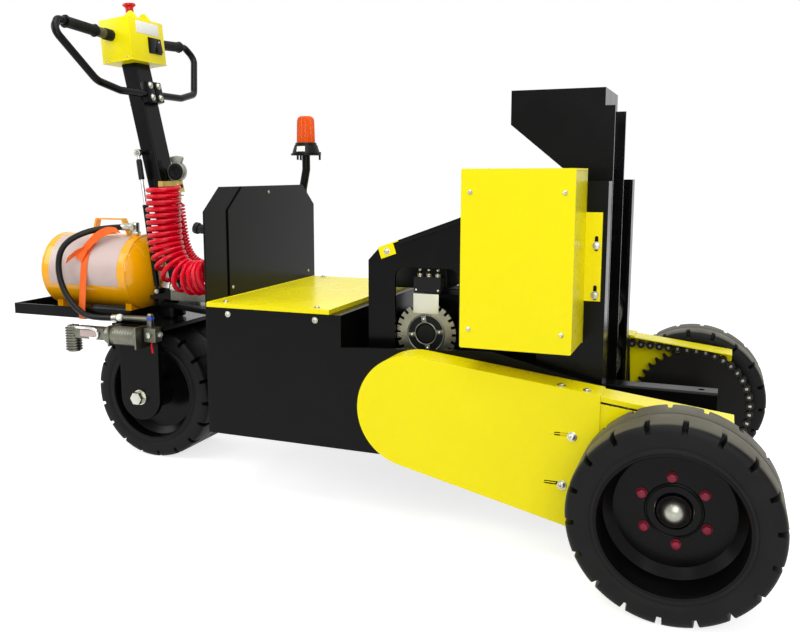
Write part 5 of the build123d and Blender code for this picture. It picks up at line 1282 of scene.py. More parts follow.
@dataclass
class DriveWheels:
    """The two chain-driven wheels with their nuts."""

    half: float = 0.0815
    middle_y: float = 0.5035
    disc_y: float = 0.492
    nut_circle: float = 0.0694
    nut_turn: float = 5.4
    nut_count: int = 6
    # Sections along the axle and away from it: the nut's flange, the disc's ring and the hub's lip
    flange: tuple = ((0, 0), (0, 0.0108), (0.0018, 0.0108), (0.0028, 0.0098), (0.0028, 0))
    disc_ring: tuple = ((0, 0.0525), (0.0022, 0.0535), (0.0030, 0.0550), (0.0022, 0.0565), (0, 0.0575))
    hub_lip: tuple = ((0, 0.0304), (0.0085, 0.0304), (0.0085, 0.0328), (0.003, 0.0358), (0, 0.0372))
    nut_from: float = 0.002
    nut_to: float = 0.0098
    nut_r: float = 0.0098
    nut_top_r: float = 0.0092

    def build(self) -> None:
        """Dresses both wheels."""
        for side, way in SIDES:
            centre = (AXLE_X, way * self.middle_y, WHEEL_Z)
            names = (f"tread_tyre_{side}", f"drive_tyre_{side}", f"drive_wheel_{side}")
            Tyre(*names, centre, self.half, way < 0, TREAD_RUBBER).build()
            self._nuts(side, way)
            self._hub_ring(side, way)

    def _nuts(self, side: str, way: int) -> None:
        """Screws the covered wheel nuts on.

        Args:
            side: The side's letter.
            way: Its direction along Y.
        """
        nuts = Workpiece(f"wheel_nuts_{side}")
        for index in range(self.nut_count):
            angle = radians(30 + self.nut_turn + 360 * index / self.nut_count)
            x, z = AXLE_X + self.nut_circle * cos(angle), WHEEL_Z + self.nut_circle * sin(angle)
            nuts.lathe((x, way * self.disc_y, z), Y_AXIS * way, list(self.flange), 28)
            low, high = [(x, way * (self.disc_y + reach), z) for reach in (self.nut_from, self.nut_to)]
            nuts.rod(low, high, self.nut_r, self.nut_top_r, 6, 0.0012, turn=12)
        nuts.done(NUT_PLASTIC, f"drive_wheel_{side}")

    def _hub_ring(self, side: str, way: int) -> None:
        """Presses the raised rings of the disc and the rim's lip.

        Args:
            side: The side's letter.
            way: Its direction along Y.
        """
        rings = Workpiece(f"disc_rings_{side}")
        base = (AXLE_X, way * self.disc_y, WHEEL_Z)
        rings.lathe(base, Y_AXIS * way, list(self.disc_ring), 72)
        rings.lathe(base, Y_AXIS * way, list(self.hub_lip), 60)
        rings.done(BLACK_POWDER, f"drive_wheel_{side}")


@dataclass
class DriveChains:
    """A roller chain round the two sprockets on each side."""

    links: int = 76
    chain_y: float = 0.372
    pitch: float = 0.0254
    wheel_teeth: int = 39
    drive_teeth: int = 17
    roller_r: float = 0.0078
    roller_half: float = 0.0088
    plate_r: float = 0.0104
    plate_thick: float = 0.0022
    outer_gap: float = 0.0118
    inner_gap: float = 0.0091
    waist_share: float = 0.8
    waist_thick: float = 0.0020
    waist_w: float = 0.0125
    pin_r: float = 0.0044
    pin_from: float = 0.0110
    pin_to: float = 0.0150

    def build(self) -> None:
        """Lays every roller, pin and side plate of both chains."""
        work = Workpiece("roller_chains")
        pins = Workpiece("chain_pins")
        places = self._pins()
        for way in LEFT_RIGHT:
            for index, here in enumerate(places):
                there = places[(index + 1) % len(places)]
                self._link(work, here, there, way, index % 2 == 0)
                at = here + Y_AXIS * (way * self.chain_y)
                for side in LEFT_RIGHT:
                    low, high = [at + Y_AXIS * (side * reach) for reach in (self.pin_from, self.pin_to)]
                    pins.rod(low, high, self.pin_r, sides=8)
        work.done(CHAIN_STEEL, "chassis", "drive_chains")
        pins.done(ZINC_STEEL, "chassis")

    def _pins(self) -> list[Vector]:
        """Works out each pin's place round the two pitch circles.

        Returns:
            The places in order, on the machine's centre plane.
        """
        big = self.pitch / (2 * sin(pi / self.wheel_teeth))
        small = self.pitch / (2 * sin(pi / self.drive_teeth))
        away = hypot(AXLE_X - DRIVER_X, WHEEL_Z - DRIVER_Z)
        tilt = atan2(WHEEL_Z - DRIVER_Z, AXLE_X - DRIVER_X)
        spread = asin((big - small) / away)
        run = sqrt(away**2 - (big - small) ** 2)
        big_arc, small_arc = (pi + 2 * spread) * big, (pi - 2 * spread) * small
        total = 2 * run + big_arc + small_arc
        big_at, small_at = Vector((AXLE_X, 0, WHEEL_Z)), Vector((DRIVER_X, 0, DRIVER_Z))
        up = tilt + pi / 2 + spread
        low = tilt - pi / 2 - spread
        places = []
        for index in range(self.links):
            s = total * index / self.links
            if s < big_arc:
                angle = up - s / big
                places.append(big_at + big * Vector((cos(angle), 0, sin(angle))))
                continue
            s -= big_arc
            if s < run:
                way = Vector((cos(low), 0, sin(low)))
                places.append((big_at + big * way).lerp(small_at + small * way, s / run))
                continue
            s -= run
            if s < small_arc:
                angle = low - s / small
                places.append(small_at + small * Vector((cos(angle), 0, sin(angle))))
                continue
            s -= small_arc
            way = Vector((cos(up), 0, sin(up)))
            places.append((small_at + small * way).lerp(big_at + big * way, s / run))
        return places

    def _link(self, work: Workpiece, here: Vector, there: Vector, way: int, outer: bool) -> None:
        """Adds one roller and the two plates to the next.

        Args:
            work: The piece that takes them.
            here: The roller's place on the centre plane.
            there: The next roller's place.
            way: The chain's direction along Y.
            outer: Whether the plates are the outer pair.
        """
        at = here + Y_AXIS * (way * self.chain_y)
        work.rod(at - Y_AXIS * self.roller_half, at + Y_AXIS * self.roller_half, self.roller_r, sides=12)
        run = there - here
        gap = self.outer_gap if outer else self.inner_gap
        for side in LEFT_RIGHT:
            start = at + Y_AXIS * (side * gap)
            thick = Y_AXIS * (side * self.plate_thick)
            work.rod(start, start + thick, self.plate_r, sides=12)
            work.rod(start + run, start + run + thick, self.plate_r, sides=12)
            turn = run.to_track_quat("X", "Y").to_matrix()
            size = (run.length * self.waist_share, self.waist_thick, self.waist_w)
            work.block(start + run / 2 + thick / 2, size, turn=turn)


@dataclass
class Guards:
    """Screws and slides of the chain guards."""

    face_y: float = 0.405
    top_z: float = 0.451
    top_x: float = 0.3505
    slope: float = 0.121
    side_bolts: tuple = ((0.709, 0.304), (0.690, 0.192))
    top_bolts: tuple = (0.680, 0.735)
    top_y: float = 0.387
    bead: tuple = (0.034, 0.0010, 0.0022)
    bead_from: tuple = (-0.030, 0.0035)

    def build(self) -> None:
        """Fits the screws on both sides."""
        screws = Workpiece("guard_screws")
        for way in LEFT_RIGHT:
            for x, z in self.side_bolts:
                screws.dome_bolt((x, way * self.face_y, z), (0, way, 0), 0.0078, 0.0108)
            for x in self.top_bolts:
                seat = (x, way * self.top_y, self.top_z - self.slope * (x - self.top_x))
                screws.dome_bolt(seat, (self.slope, 0, 1), 0.0062, 0.0095, socket=False)
        screws.done(ZINC_STEEL, "chassis")
        beads = Workpiece("guard_embosses")
        for way in LEFT_RIGHT:
            for x, z in self.side_bolts:
                middle = (x + self.bead_from[0], way * (self.face_y + SUNK), z + self.bead_from[1])
                beads.block(middle, self.bead, 0.0004)
        beads.done(YELLOW_POWDER, "chassis")


@dataclass
class Body:
    """Screws and seams of the battery box, the panel, the motor bay and the pump cover."""

    frame_y: float = 0.321
    cover_z: float = 0.533
    overlay_x: float = -0.267
    pump_y: float = 0.440
    cover_screw_x: tuple = (-0.225, 0.045)
    cover_screw_y: float = 0.298
    side_screw_x: tuple = (-0.205, 0.050)
    side_screw_z: float = 0.505
    bay_screw: tuple = (0.2163, 0.249, 0.6785)
    panel_screws: tuple = ((-0.192, 0.558), (0.018, 0.817), (0.272, 0.555))
    pump_screw_x: tuple = (0.483, 0.685)
    pump_screw_z: tuple = (0.830, 0.532)
    tab_screws: tuple = ((0.731, -0.290, 0.711), (0.731, -0.290, 0.600))
    # Ends of the weld runs on each side, as x, y and z
    weld_runs: tuple = (
        ((0.7535, 0.286, 0.2405), (0.603, 0.286, 0.2405)),
        ((0.602, 0.287, 0.24), (0.602, 0.287, 0.40)),
        ((0.753, 0.287, 0.24), (0.753, 0.287, 0.40)),
        ((0.121, 0.3095, 0.185), (0.121, 0.3095, 0.438)),
        ((0.602, 0.238, 0.30), (0.602, 0.238, 0.82)),
    )
    weld_r: float = 0.0034
    weld_step: float = 0.007
    weld_ripple: tuple = (0.0004, 0, 0.0002)
    seam_x: float = -0.2665
    seam: tuple = (0.007, 0.636, 0.0016)
    flap_at: tuple = (0.7078, -0.367, 0.8765)
    flap: tuple = (0.0012, 0.135, 0.002)
    # The sloping lid: where it starts, its slope, and the plates' edges beside it
    lid_from: tuple = (0.194, 0.684)
    lid_slope: float = 0.3676
    edge_x: tuple = (0.2475, 0.4625)
    edge_y: float = 0.2491
    edge_below: float = 0.008
    edge_above: float = 0.0036
    case_at: tuple = (0.262, 0.02, 0.606)
    case_size: tuple = (0.150, 0.300, 0.068)
    case_ribs: int = 7
    rib: tuple = (0.130, 0.006, 0.010)
    rib_y: float = -0.100
    rib_step: float = 0.040
    rib_z: float = 0.641
    # Start, end, radius, sides and edge of each step of the charging plug
    plug_steps: tuple = (
        ((-0.2765, -0.296, 0.724), (-0.282, -0.296, 0.724), 0.017, 6, 0.001),
        ((-0.281, -0.296, 0.724), (-0.303, -0.296, 0.726), 0.0125, 28, 0.002),
        ((-0.302, -0.296, 0.726), (-0.316, -0.296, 0.729), 0.0155, 28, 0.003),
    )

    def build(self) -> None:
        """Fits the body's screws, welds, seams and small cases."""
        self._screws()
        self._welds()
        self._seams()
        self._bay()

    def _screws(self) -> None:
        """Fits every button head and hexagon screw."""
        screws = Workpiece("cover_screws")
        for way in LEFT_RIGHT:
            for x in self.cover_screw_x:
                screws.dome_bolt((x, way * self.cover_screw_y, self.cover_z), (0, 0, 1), 0.0056, 0.0085)
            for x in self.side_screw_x:
                screws.dome_bolt((x, way * self.frame_y, self.side_screw_z), (0, way, 0), 0.0056, 0.008)
            x, y, z = self.bay_screw
            screws.dome_bolt((x, way * y, z), (0, way, 0), 0.0056, 0.008)
        for y, z in self.panel_screws:
            screws.dome_bolt((self.overlay_x, y, z), (1, 0, 0), 0.0048)
        for x in self.pump_screw_x:
            for z in self.pump_screw_z:
                screws.dome_bolt((x, -self.pump_y, z), (0, -1, 0), 0.0052)
        for seat in self.tab_screws:
            screws.hex_bolt(seat, (0, -1, 0), 0.013, 0.006, 0.0092)
        screws.done(ZINC_STEEL, "chassis")

    def _welds(self) -> None:
        """Runs rippled fillet welds where plates meet in plain sight."""
        welds = Workpiece("frame_welds")
        for way in LEFT_RIGHT:
            for run in self.weld_runs:
                a, b = [Vector((x, way * y, z)) for x, y, z in run]
                count = max(2, int((b - a).length / self.weld_step))
                ripples = [Vector(self.weld_ripple) * (-1) ** i for i in range(count + 1)]
                points = [a.lerp(b, i / count) + ripple for i, ripple in enumerate(ripples)]
                welds.pipe(points, self.weld_r)
        welds.done(BLACK_POWDER, "chassis")

    def _bay(self) -> None:
        """Folds the bay plates' edges beside the lid and fits the case behind the motors and the plug."""
        edges = Workpiece("bay_plate_edges")
        x0, z0 = self.lid_from
        for way in LEFT_RIGHT:
            a, b = [Vector((x, way * self.edge_y, z0 + self.lid_slope * (x - x0))) for x in self.edge_x]
            up = Vector((-(b - a).z, 0, (b - a).x)).normalized()
            low, high = up * self.edge_below, up * self.edge_above
            edges.plate([a - low, b - low, b + high, a + high], Y_AXIS * (way * 0.0012), 0.0004)
        edges.done(BLACK_POWDER, "chassis")
        case = Workpiece("controller_case")
        case.block(self.case_at, self.case_size, 0.004)
        for rib in range(self.case_ribs):
            case.block((self.case_at[0], self.rib_y + rib * self.rib_step, self.rib_z), self.rib, 0.001)
        case.done(NYLON, "chassis")
        plug = Workpiece("charge_connector")
        for start, end, radius, sides, edge in self.plug_steps:
            plug.rod(start, end, radius, sides=sides, edge=edge)
        plug.done(NYLON, "chassis")

    def _seams(self) -> None:
        """Folds the seam strip along the battery cover's rear edge and the pump cover's flap line."""
        seam = Workpiece("cover_seams")
        seam.block((self.seam_x, 0, self.cover_z + 0.0006), self.seam, 0.0005)
        seam.block(self.flap_at, self.flap, 0.0004)
        seam.done(YELLOW_POWDER, "chassis")


@dataclass
class MotorEnds:
    """The brake rings, terminals and blank plates of the two motors."""

    x: float = 0.315
    z: float = 0.474
    ring_y: float = 0.234
    # Sections along the motor's axle and away from it
    recess: tuple = ((0, 0.0255), (0, 0.0450), (0.0010, 0.0450), (0.0010, 0.0255))
    cap: tuple = ((0, 0), (0, 0.0245), (0.0275, 0.0245), (0.029, 0.023), (0.029, 0))
    outer_bead: tuple = ((0, 0.0455), (0.0026, 0.0462), (0.0032, 0.0475), (0.0026, 0.0490), (0, 0.0500))
    inner_bead: tuple = ((0, 0.0262), (0.0026, 0.0262), (0.0032, 0.0274), (0.0026, 0.0288), (0, 0.0290))
    bridge_degrees: tuple = (8, 98, 188, 278)
    bridge_r: float = 0.0365
    bridge: tuple = (0.0185, 0.0030, 0.0125)
    plate: tuple = (0.066, 0.0012, 0.049)
    plate_z: float = 0.5495
    stud_y: float = 0.212
    stud_step: float = 0.02333
    # Heights of the nut's seat, of the stud's upper part and of its end
    stud_z: tuple = (0.6152, 0.6285, 0.634)
    plate_screw: tuple = (0.029, 0.227, 0.582)

    def build(self) -> None:
        """Dresses both motor ends."""
        metal, dark = Workpiece("brake_bridges"), Workpiece("brake_recesses")
        plates, nuts = Workpiece("motor_rating_plates"), Workpiece("terminal_nuts")
        screws = Workpiece("terminal_screws")
        for way in LEFT_RIGHT:
            out = Y_AXIS * way
            self._brake(metal, dark, screws, out)
            plates.block((self.x, way * (self.ring_y + 0.0006), self.plate_z), self.plate, 0.0003)
            for place in (-1, 0, 1):
                x, y = self.x + place * self.stud_step, way * self.stud_y
                nuts.hex_bolt((x, y, self.stud_z[0]), (0, 0, 1), 0.0125, 0.0055, 0.0072, 0.006)
                nuts.rod((x, y, self.stud_z[1]), (x, y, self.stud_z[2]), 0.0042, sides=16, edge=0.0006)
            away, y, z = self.plate_screw
            for place in LEFT_RIGHT:
                screws.dome_bolt((self.x + place * away, way * y, z), out, 0.0034)
        metal.done(GREY_CASTING, "chassis")
        dark.done(BLACK_CASTING, "chassis")
        plates.done(RATING_PLATE, "chassis")
        nuts.done(ZINC_STEEL, "chassis")
        screws.done(ZINC_STEEL, "chassis")

    def _brake(self, metal: Workpiece, dark: Workpiece, screws: Workpiece, out: Vector) -> None:
        """Turns the brake's beads and recess and sets the four screwed bridges.

        Args:
            metal: The piece that takes the bare metal.
            dark: The piece that takes the black parts.
            screws: The piece that takes the screws.
            out: The way out along the motor's axle.
        """
        face = Vector((self.x, 0, self.z)) + out * (self.ring_y - 0.0006)
        dark.lathe(face, out, list(self.recess), 60, ring=True)
        dark.lathe(Vector((self.x, 0, self.z)) + out * 0.205, out, list(self.cap), 48)
        metal.lathe(face, out, list(self.outer_bead), 72)
        metal.lathe(face, out, list(self.inner_bead), 60)
        for angle in self.bridge_degrees:
            away = Vector((cos(radians(angle)), 0, sin(radians(angle))))
            centre = face + away * self.bridge_r + out * 0.0014
            metal.block(centre, self.bridge, 0.0008, Matrix.Rotation(-radians(angle), 3, "Y"))
            screws.dome_bolt(centre + out * 0.0014, out, 0.0036)


@dataclass
class ControlHead:
    """The folded control box, its rocker, its guarded stop button and the bosses that take the handle."""

    centre: tuple[float, float, float] = (-0.723, 0, 1.283)
    lean: float = 5.0
    width: float = 0.170
    depth: float = 0.110
    height: float = 0.158
    roof: float = 0.050
    floor: float = -0.0785
    label: tuple = (0.0008, 0.110, 0.036)
    rocker: tuple = (0.0044, 0.062, 0.048)
    rocker_y: tuple = (0.017, 0.046)
    rocker_degrees: tuple = (7, -7)
    key: tuple = (0.0070, 0.0265, 0.040)
    mark: tuple = ((0, 0), (0, 0.0022), (0.0012, 0.0018), (0.0012, 0))
    # Ahead and up on each ear, and the ears' places to the side
    ear: tuple = (
        (-0.034, -0.001),
        (0.050, -0.001),
        (0.046, 0.008),
        (0.030, 0.0255),
        (0.020, 0.0255),
        (-0.012, 0.006),
    )
    ear_y: tuple = (-0.0325, 0.0300)
    base: tuple = ((-0.034, -0.0325), (0.050, -0.0325), (0.050, 0.0325), (-0.034, 0.0325))
    stem: tuple = ((-0.024, 0), (-0.024, 0.0125), (0.0105, 0.0118), (0.0155, 0.0130))
    brim: tuple = ((0.0190, 0.0180), (0.0200, 0.0196))
    dome: tuple = ((0.0236, 0.0200), (0.0252, 0.0192), (0.0262, 0.0165), (0.0256, 0.0110), (0.0254, 0))
    collar: tuple = ((0, 0), (0, 0.0165), (0.006, 0.0165), (0.008, 0.0150), (0.008, 0))
    boss: tuple = ((0, 0.0112), (0, 0.0170), (0.006, 0.0170), (0.008, 0.0155), (0.008, 0.0112))

    def at(self, ahead: float, side: float, up: float) -> Vector:
        """Turns a place in the leaning box's own frame into a place in the model.

        Args:
            ahead: How far to the box's front.
            side: How far along Y.
            up: How far up the lean.

        Returns:
            The place.
        """
        front = Vector((cos(radians(self.lean)), 0, sin(radians(self.lean))))
        top = Vector((-sin(radians(self.lean)), 0, cos(radians(self.lean))))
        return Vector(self.centre) + front * ahead + Y_AXIS * side + top * up

    def build(self) -> None:
        """Fits everything that sits on the box."""
        turn = Matrix.Rotation(-radians(self.lean), 3, "Y")
        front = self.at(1, 0, 0) - self.at(0, 0, 0)
        top = self.at(0, 0, 1) - self.at(0, 0, 0)
        face = self.depth / 2
        box = Workpiece("folded_control_box")
        middle = self.at(0, 0, (self.roof + self.floor) / 2)
        box.block(middle, (self.depth, self.width, self.roof - self.floor), 0.0035, turn)
        box.done(YELLOW_POWDER, "tiller", "control_box")
        label = Workpiece("control_label")
        label.block(self.at(face + SUNK, 0.004, 0.023), self.label, 0.0003, turn)
        label.done(WHITE_LABEL, "tiller")
        rocker = Workpiece("drive_rocker")
        rocker.block(self.at(face + 0.0012, 0.0315, -0.026), self.rocker, 0.0014, turn)
        marks = Workpiece("rocker_marks")
        for side, degrees in zip(self.rocker_y, self.rocker_degrees):
            tilt = turn @ Matrix.Rotation(radians(degrees), 3, "Y")
            rocker.block(self.at(face + 0.0045, side, -0.026), self.key, 0.0012, tilt)
            marks.lathe(self.at(face + 0.0072, side, -0.014), front, list(self.mark), 16)
        rocker.done(NYLON, "tiller")
        marks.done(WHITE_LABEL, "tiller")
        self._guard(top)
        self._button(top)
        self._seams(turn)

    def _guard(self, top: Vector) -> None:
        """Folds the two pointed ears that guard the stop button.

        Args:
            top: The way up the box's lean.
        """
        ears = Workpiece("stop_button_guard")
        for side in self.ear_y:
            outline = [self.at(ahead, side, self.roof + up) for ahead, up in self.ear]
            ears.plate(outline, Y_AXIS * 0.0025, 0.0006)
        ears.plate([self.at(ahead, side, self.roof) for ahead, side in self.base], top * 0.0018, 0.0004)
        ears.done(YELLOW_POWDER, "tiller")

    def _button(self, top: Vector) -> None:
        """Turns the mushroom head, its stem and the dark collar under it.

        Args:
            top: The way up the box's lean.
        """
        seat = self.at(0, 0, self.height / 2)
        button = Workpiece("stop_mushroom")
        button.lathe(seat, top, list(self.stem + self.brim + self.dome), 48)
        button.done(RED_PLASTIC, "tiller", "stop_button")
        collar = Workpiece("stop_button_collar")
        low = self.roof - self.height / 2
        collar.lathe(seat, top, [(low + along, away) for along, away in self.collar], 36)
        collar.done(NYLON, "tiller")

    def _seams(self, turn: Matrix) -> None:
        """Adds the box's bottom flange, its screws, and the bosses where the handle enters.

        Args:
            turn: The box's lean.
        """
        seams = Workpiece("control_box_seams")
        low = -self.height / 2
        flange = (self.depth + 0.0016, self.width + 0.0016, 0.0024)
        seams.block(self.at(0, 0, low + 0.0012), flange, 0.0006, turn)
        seams.done(YELLOW_POWDER, "tiller")
        screws = Workpiece("control_box_screws")
        for way in LEFT_RIGHT:
            for ahead in (-0.040, 0.040):
                screws.dome_bolt(self.at(ahead, way * (self.width / 2), low + 0.010), (0, way, 0), 0.0034)
        screws.done(ZINC_STEEL, "tiller")
        bosses = Workpiece("handle_bosses")
        for way in LEFT_RIGHT:
            inner = Vector((-0.7365, way * 0.0845, 1.2822))
            out = Vector((-0.0311 * 0.997, way * 0.997, 0.0680)).normalized()
            bosses.lathe(inner, out, list(self.boss), 36, ring=True)
        bosses.done(NYLON, "tiller")


@dataclass
class Column:
    """The tiller column's clamps, pins, strut sleeves and hose block."""

    pivot: tuple[float, float, float] = (-0.563, 0, 0.526)
    lean: float = 12.7
    half_depth: float = 0.0254
    clamp_up: float = 0.5985
    clamp_y: float = 0.0197
    clamp: tuple = (0.0252, 0.0362, 0.064)
    clamp_screw_up: float = 0.0185
    strut_low: tuple = (-0.619, 0.062, 0.512)
    strut_high: tuple = (-0.673, 0.062, 0.935)
    # Each part on the struts: how far up it starts, and its section
    sleeve_from: float = 0.345
    sleeve: tuple = ((0, 0.0053), (0, 0.0088), (0.056, 0.0088), (0.060, 0.0078), (0.062, 0.0053))
    cap_from: float = 0.262
    cap: tuple = ((0, 0.0062), (0, 0.0094), (0.004, 0.0094), (0.006, 0.0080), (0.006, 0.0062))
    # The air coupling: its middle, its cast ring, the ears above it and its rubber seal
    coupling: tuple = (-0.5826, 0.010, 0.8776)
    cast_ring: tuple = (
        (0, 0.0200),
        (0, 0.0288),
        (0.0015, 0.0298),
        (0.0175, 0.0298),
        (0.019, 0.0288),
        (0.019, 0),
        (0.004, 0),
        (0.004, 0.0200),
    )
    ears: tuple = (
        (-0.015, 0.022),
        (0.015, 0.022),
        (0.0235, 0.040),
        (0.0215, 0.0455),
        (0, 0.0490),
        (-0.0215, 0.0455),
        (-0.0235, 0.040),
    )
    seal: tuple = (
        (0.0008, 0),
        (0.0006, 0.0090),
        (0.0012, 0.0110),
        (-0.0022, 0.0150),
        (-0.0030, 0.0200),
        (-0.0022, 0.0245),
        (0, 0.0262),
        (0.0045, 0.0262),
    )
    union_y: float = 0.010

    def at(self, up: float, ahead: float, side: float) -> Vector:
        """Turns a place in the column's own frame into a place in the model.

        Args:
            up: How far up the column from its pivot.
            ahead: How far to its front.
            side: How far along Y.

        Returns:
            The place.
        """
        tilt = radians(self.lean)
        along = Vector((-sin(tilt), 0, cos(tilt)))
        front = Vector((cos(tilt), 0, sin(tilt)))
        return Vector(self.pivot) + along * up + front * ahead + Y_AXIS * side

    def build(self) -> None:
        """Fits the column's hardware."""
        self._clamps()
        self._pins()
        self._struts()
        self._coupling()
        self._union()

    def _clamps(self) -> None:
        """Closes the two cast clamp halves over the handle loop, with their screws."""
        straps = Workpiece("handle_clamps")
        screws = Workpiece("handle_clamp_screws")
        front = (self.at(0, 1, 0) - self.at(0, 0, 0)).normalized()
        over = self.half_depth + 0.0003
        turn = Matrix.Rotation(-radians(self.lean), 3, "Y")
        for side in (-self.clamp_y, self.clamp_y):
            straps.block(self.at(self.clamp_up, over + 0.0125, side), self.clamp, 0.0040, turn)
            for up in (self.clamp_up - self.clamp_screw_up, self.clamp_up + self.clamp_screw_up):
                screws.dome_bolt(self.at(up, over + 0.0249, side), front, 0.0082, 0.0104)
                screws.hex_bolt(self.at(up, -self.half_depth, side), -front, 0.013, 0.007, 0.009, 0.004)
        straps.done(BLACK_POWDER, "tiller")
        screws.done(ZINC_STEEL, "tiller")

    def _pins(self) -> None:
        """Fits the nuts on the pivot pin and on the strut pins."""
        low, top = Workpiece("pivot_nuts"), Workpiece("strut_pin_nuts")
        strut_nut = (0.011, 0.0045, 0.0072, 0.0015)
        for way in LEFT_RIGHT:
            out = (0, way, 0)
            low.hex_bolt((self.pivot[0], way * 0.0516, self.pivot[2]), out, 0.024, 0.009, 0.0165, 0.004)
            low.hex_bolt((self.strut_low[0], way * 0.0665, self.strut_low[2]), out, *strut_nut)
            top.hex_bolt((self.strut_high[0], way * 0.0667, self.strut_high[2]), out, *strut_nut)
        low.done(ZINC_STEEL, "steering")
        top.done(ZINC_STEEL, "tiller")

    def _struts(self) -> None:
        """Slides a sleeve on each strut's rod and a cap on its tube."""
        sleeves, caps = Workpiece("strut_sleeves"), Workpiece("strut_tube_caps")
        for way in LEFT_RIGHT:
            low, high = [Vector((x, way * y, z)) for x, y, z in (self.strut_low, self.strut_high)]
            along = (high - low).normalized()
            sleeves.lathe(low + along * self.sleeve_from, along, list(self.sleeve), 28, ring=True)
            caps.lathe(low + along * self.cap_from, along, list(self.cap), 28, ring=True)
        sleeves.done(NYLON, "strut_rods")
        caps.done(NYLON, "strut_tubes")

    def _coupling(self) -> None:
        """Dresses the trailer coupling with its cast ring, ears and rubber seal."""
        disc = Vector(self.coupling)
        face = disc - Y_AXIS * 0.0095
        ring = Workpiece("coupling_face")
        ring.lathe(face, Y_AXIS, list(self.cast_ring), 48)
        ring.plate([disc + Vector((dx, -0.006, dz)) for dx, dz in self.ears], Y_AXIS * 0.010, 0.0014)
        ring.done(LIGHT_CASTING, "tiller")
        seal = Workpiece("coupling_seal")
        seal.lathe(face - Y_AXIS * 0.0012, Y_AXIS, list(self.seal), 48)
        seal.done(GRIP_RUBBER, "tiller")

    def _union(self) -> None:
        """Dresses the brass union with its plugs, its nut and the cable tie's tail."""
        plugs = Workpiece("hose_block_plugs")
        front = self.half_depth + 0.018
        low, high = [self.at(0.3010, front, side) for side in (-0.0045, -0.0090)]
        plugs.rod(low, high, 0.0062, sides=6, edge=0.0006)
        low, high = [self.at(0.3010, self.half_depth + ahead, self.union_y) for ahead in (0.0355, 0.0395)]
        plugs.rod(low, high, 0.0062, sides=6, edge=0.0006)
        tie_from = self.at(0.277, self.half_depth + 0.022, 0.004)
        plugs.rod(tie_from, tie_from + Vector((0.030, -0.016, -0.001)), 0.0014, sides=10)
        plugs.done(NYLON, "tiller")
        nut = Workpiece("hose_block_nut")
        for up, down, radius, sides in ((0.2845, 0.272, 0.0105, 6), (0.273, 0.262, 0.0072, 24)):
            low, high = self.at(down, front, self.union_y), self.at(up, front, self.union_y)
            nut.rod(high, low, radius, sides=sides, edge=0.0008)
        nut.done(BRASS, "tiller")


@dataclass
class Grips:
    """The two flared foam grips and the throttle sleeve beside the near one."""

    start: tuple[float, float, float] = (-0.7375, 0.0862, 1.2821)
    end: tuple[float, float, float] = (-0.7442, 0.300, 1.2967)
    grip_from: float = 0.064
    grip_l: float = 0.122
    ribs: int = 9
    # Sections along the handle and away from it, and where they start
    flare: tuple = ((0, 0.0113), (0, 0.0178), (0.003, 0.0190), (0.006, 0.0178), (0.010, 0.0158))
    rib: tuple = ((0, 0.0158), (0.0015, 0.0152), (0.003, 0.0158))
    end_flare: tuple = ((-0.012, 0.0158), (-0.007, 0.0172), (-0.003, 0.0186), (0, 0.0176), (0, 0.0113))
    sleeve_from: float = 0.026
    sleeve: tuple = (
        (0, 0.0113),
        (0, 0.0142),
        (0.002, 0.0150),
        (0.026, 0.0146),
        (0.0305, 0.0138),
        (0.0305, 0.0113),
    )
    cuff_from: float = 0.007
    cuff: tuple = (
        (0, 0.0113),
        (0, 0.0165),
        (0.002, 0.0172),
        (0.018, 0.0172),
        (0.0205, 0.0160),
        (0.0205, 0.0113),
    )

    def build(self) -> None:
        """Turns both grips on the handle's top runs."""
        grips = Workpiece("flared_grips")
        sleeve = Workpiece("throttle_sleeve")
        profile = list(self.flare)
        for rib in range(self.ribs):
            reach = 0.014 + rib * (self.grip_l - 0.032) / self.ribs
            profile += [(reach + along, away) for along, away in self.rib]
        profile += [(self.grip_l + along, away) for along, away in self.end_flare]
        for way in LEFT_RIGHT:
            a, b = [Vector((x, way * y, z)) for x, y, z in (self.start, self.end)]
            along = (b - a).normalized()
            grips.lathe(a + along * self.grip_from, along, profile, 40, ring=True)
            if way < 0:
                sleeve.lathe(a + along * self.sleeve_from, along, list(self.sleeve), 36, ring=True)
                grips.lathe(a + along * self.cuff_from, along, list(self.cuff), 36, ring=True)
        grips.done(GRIP_RUBBER, "tiller", "hand_grips")
        sleeve.done(THROTTLE_RUBBER, "tiller")


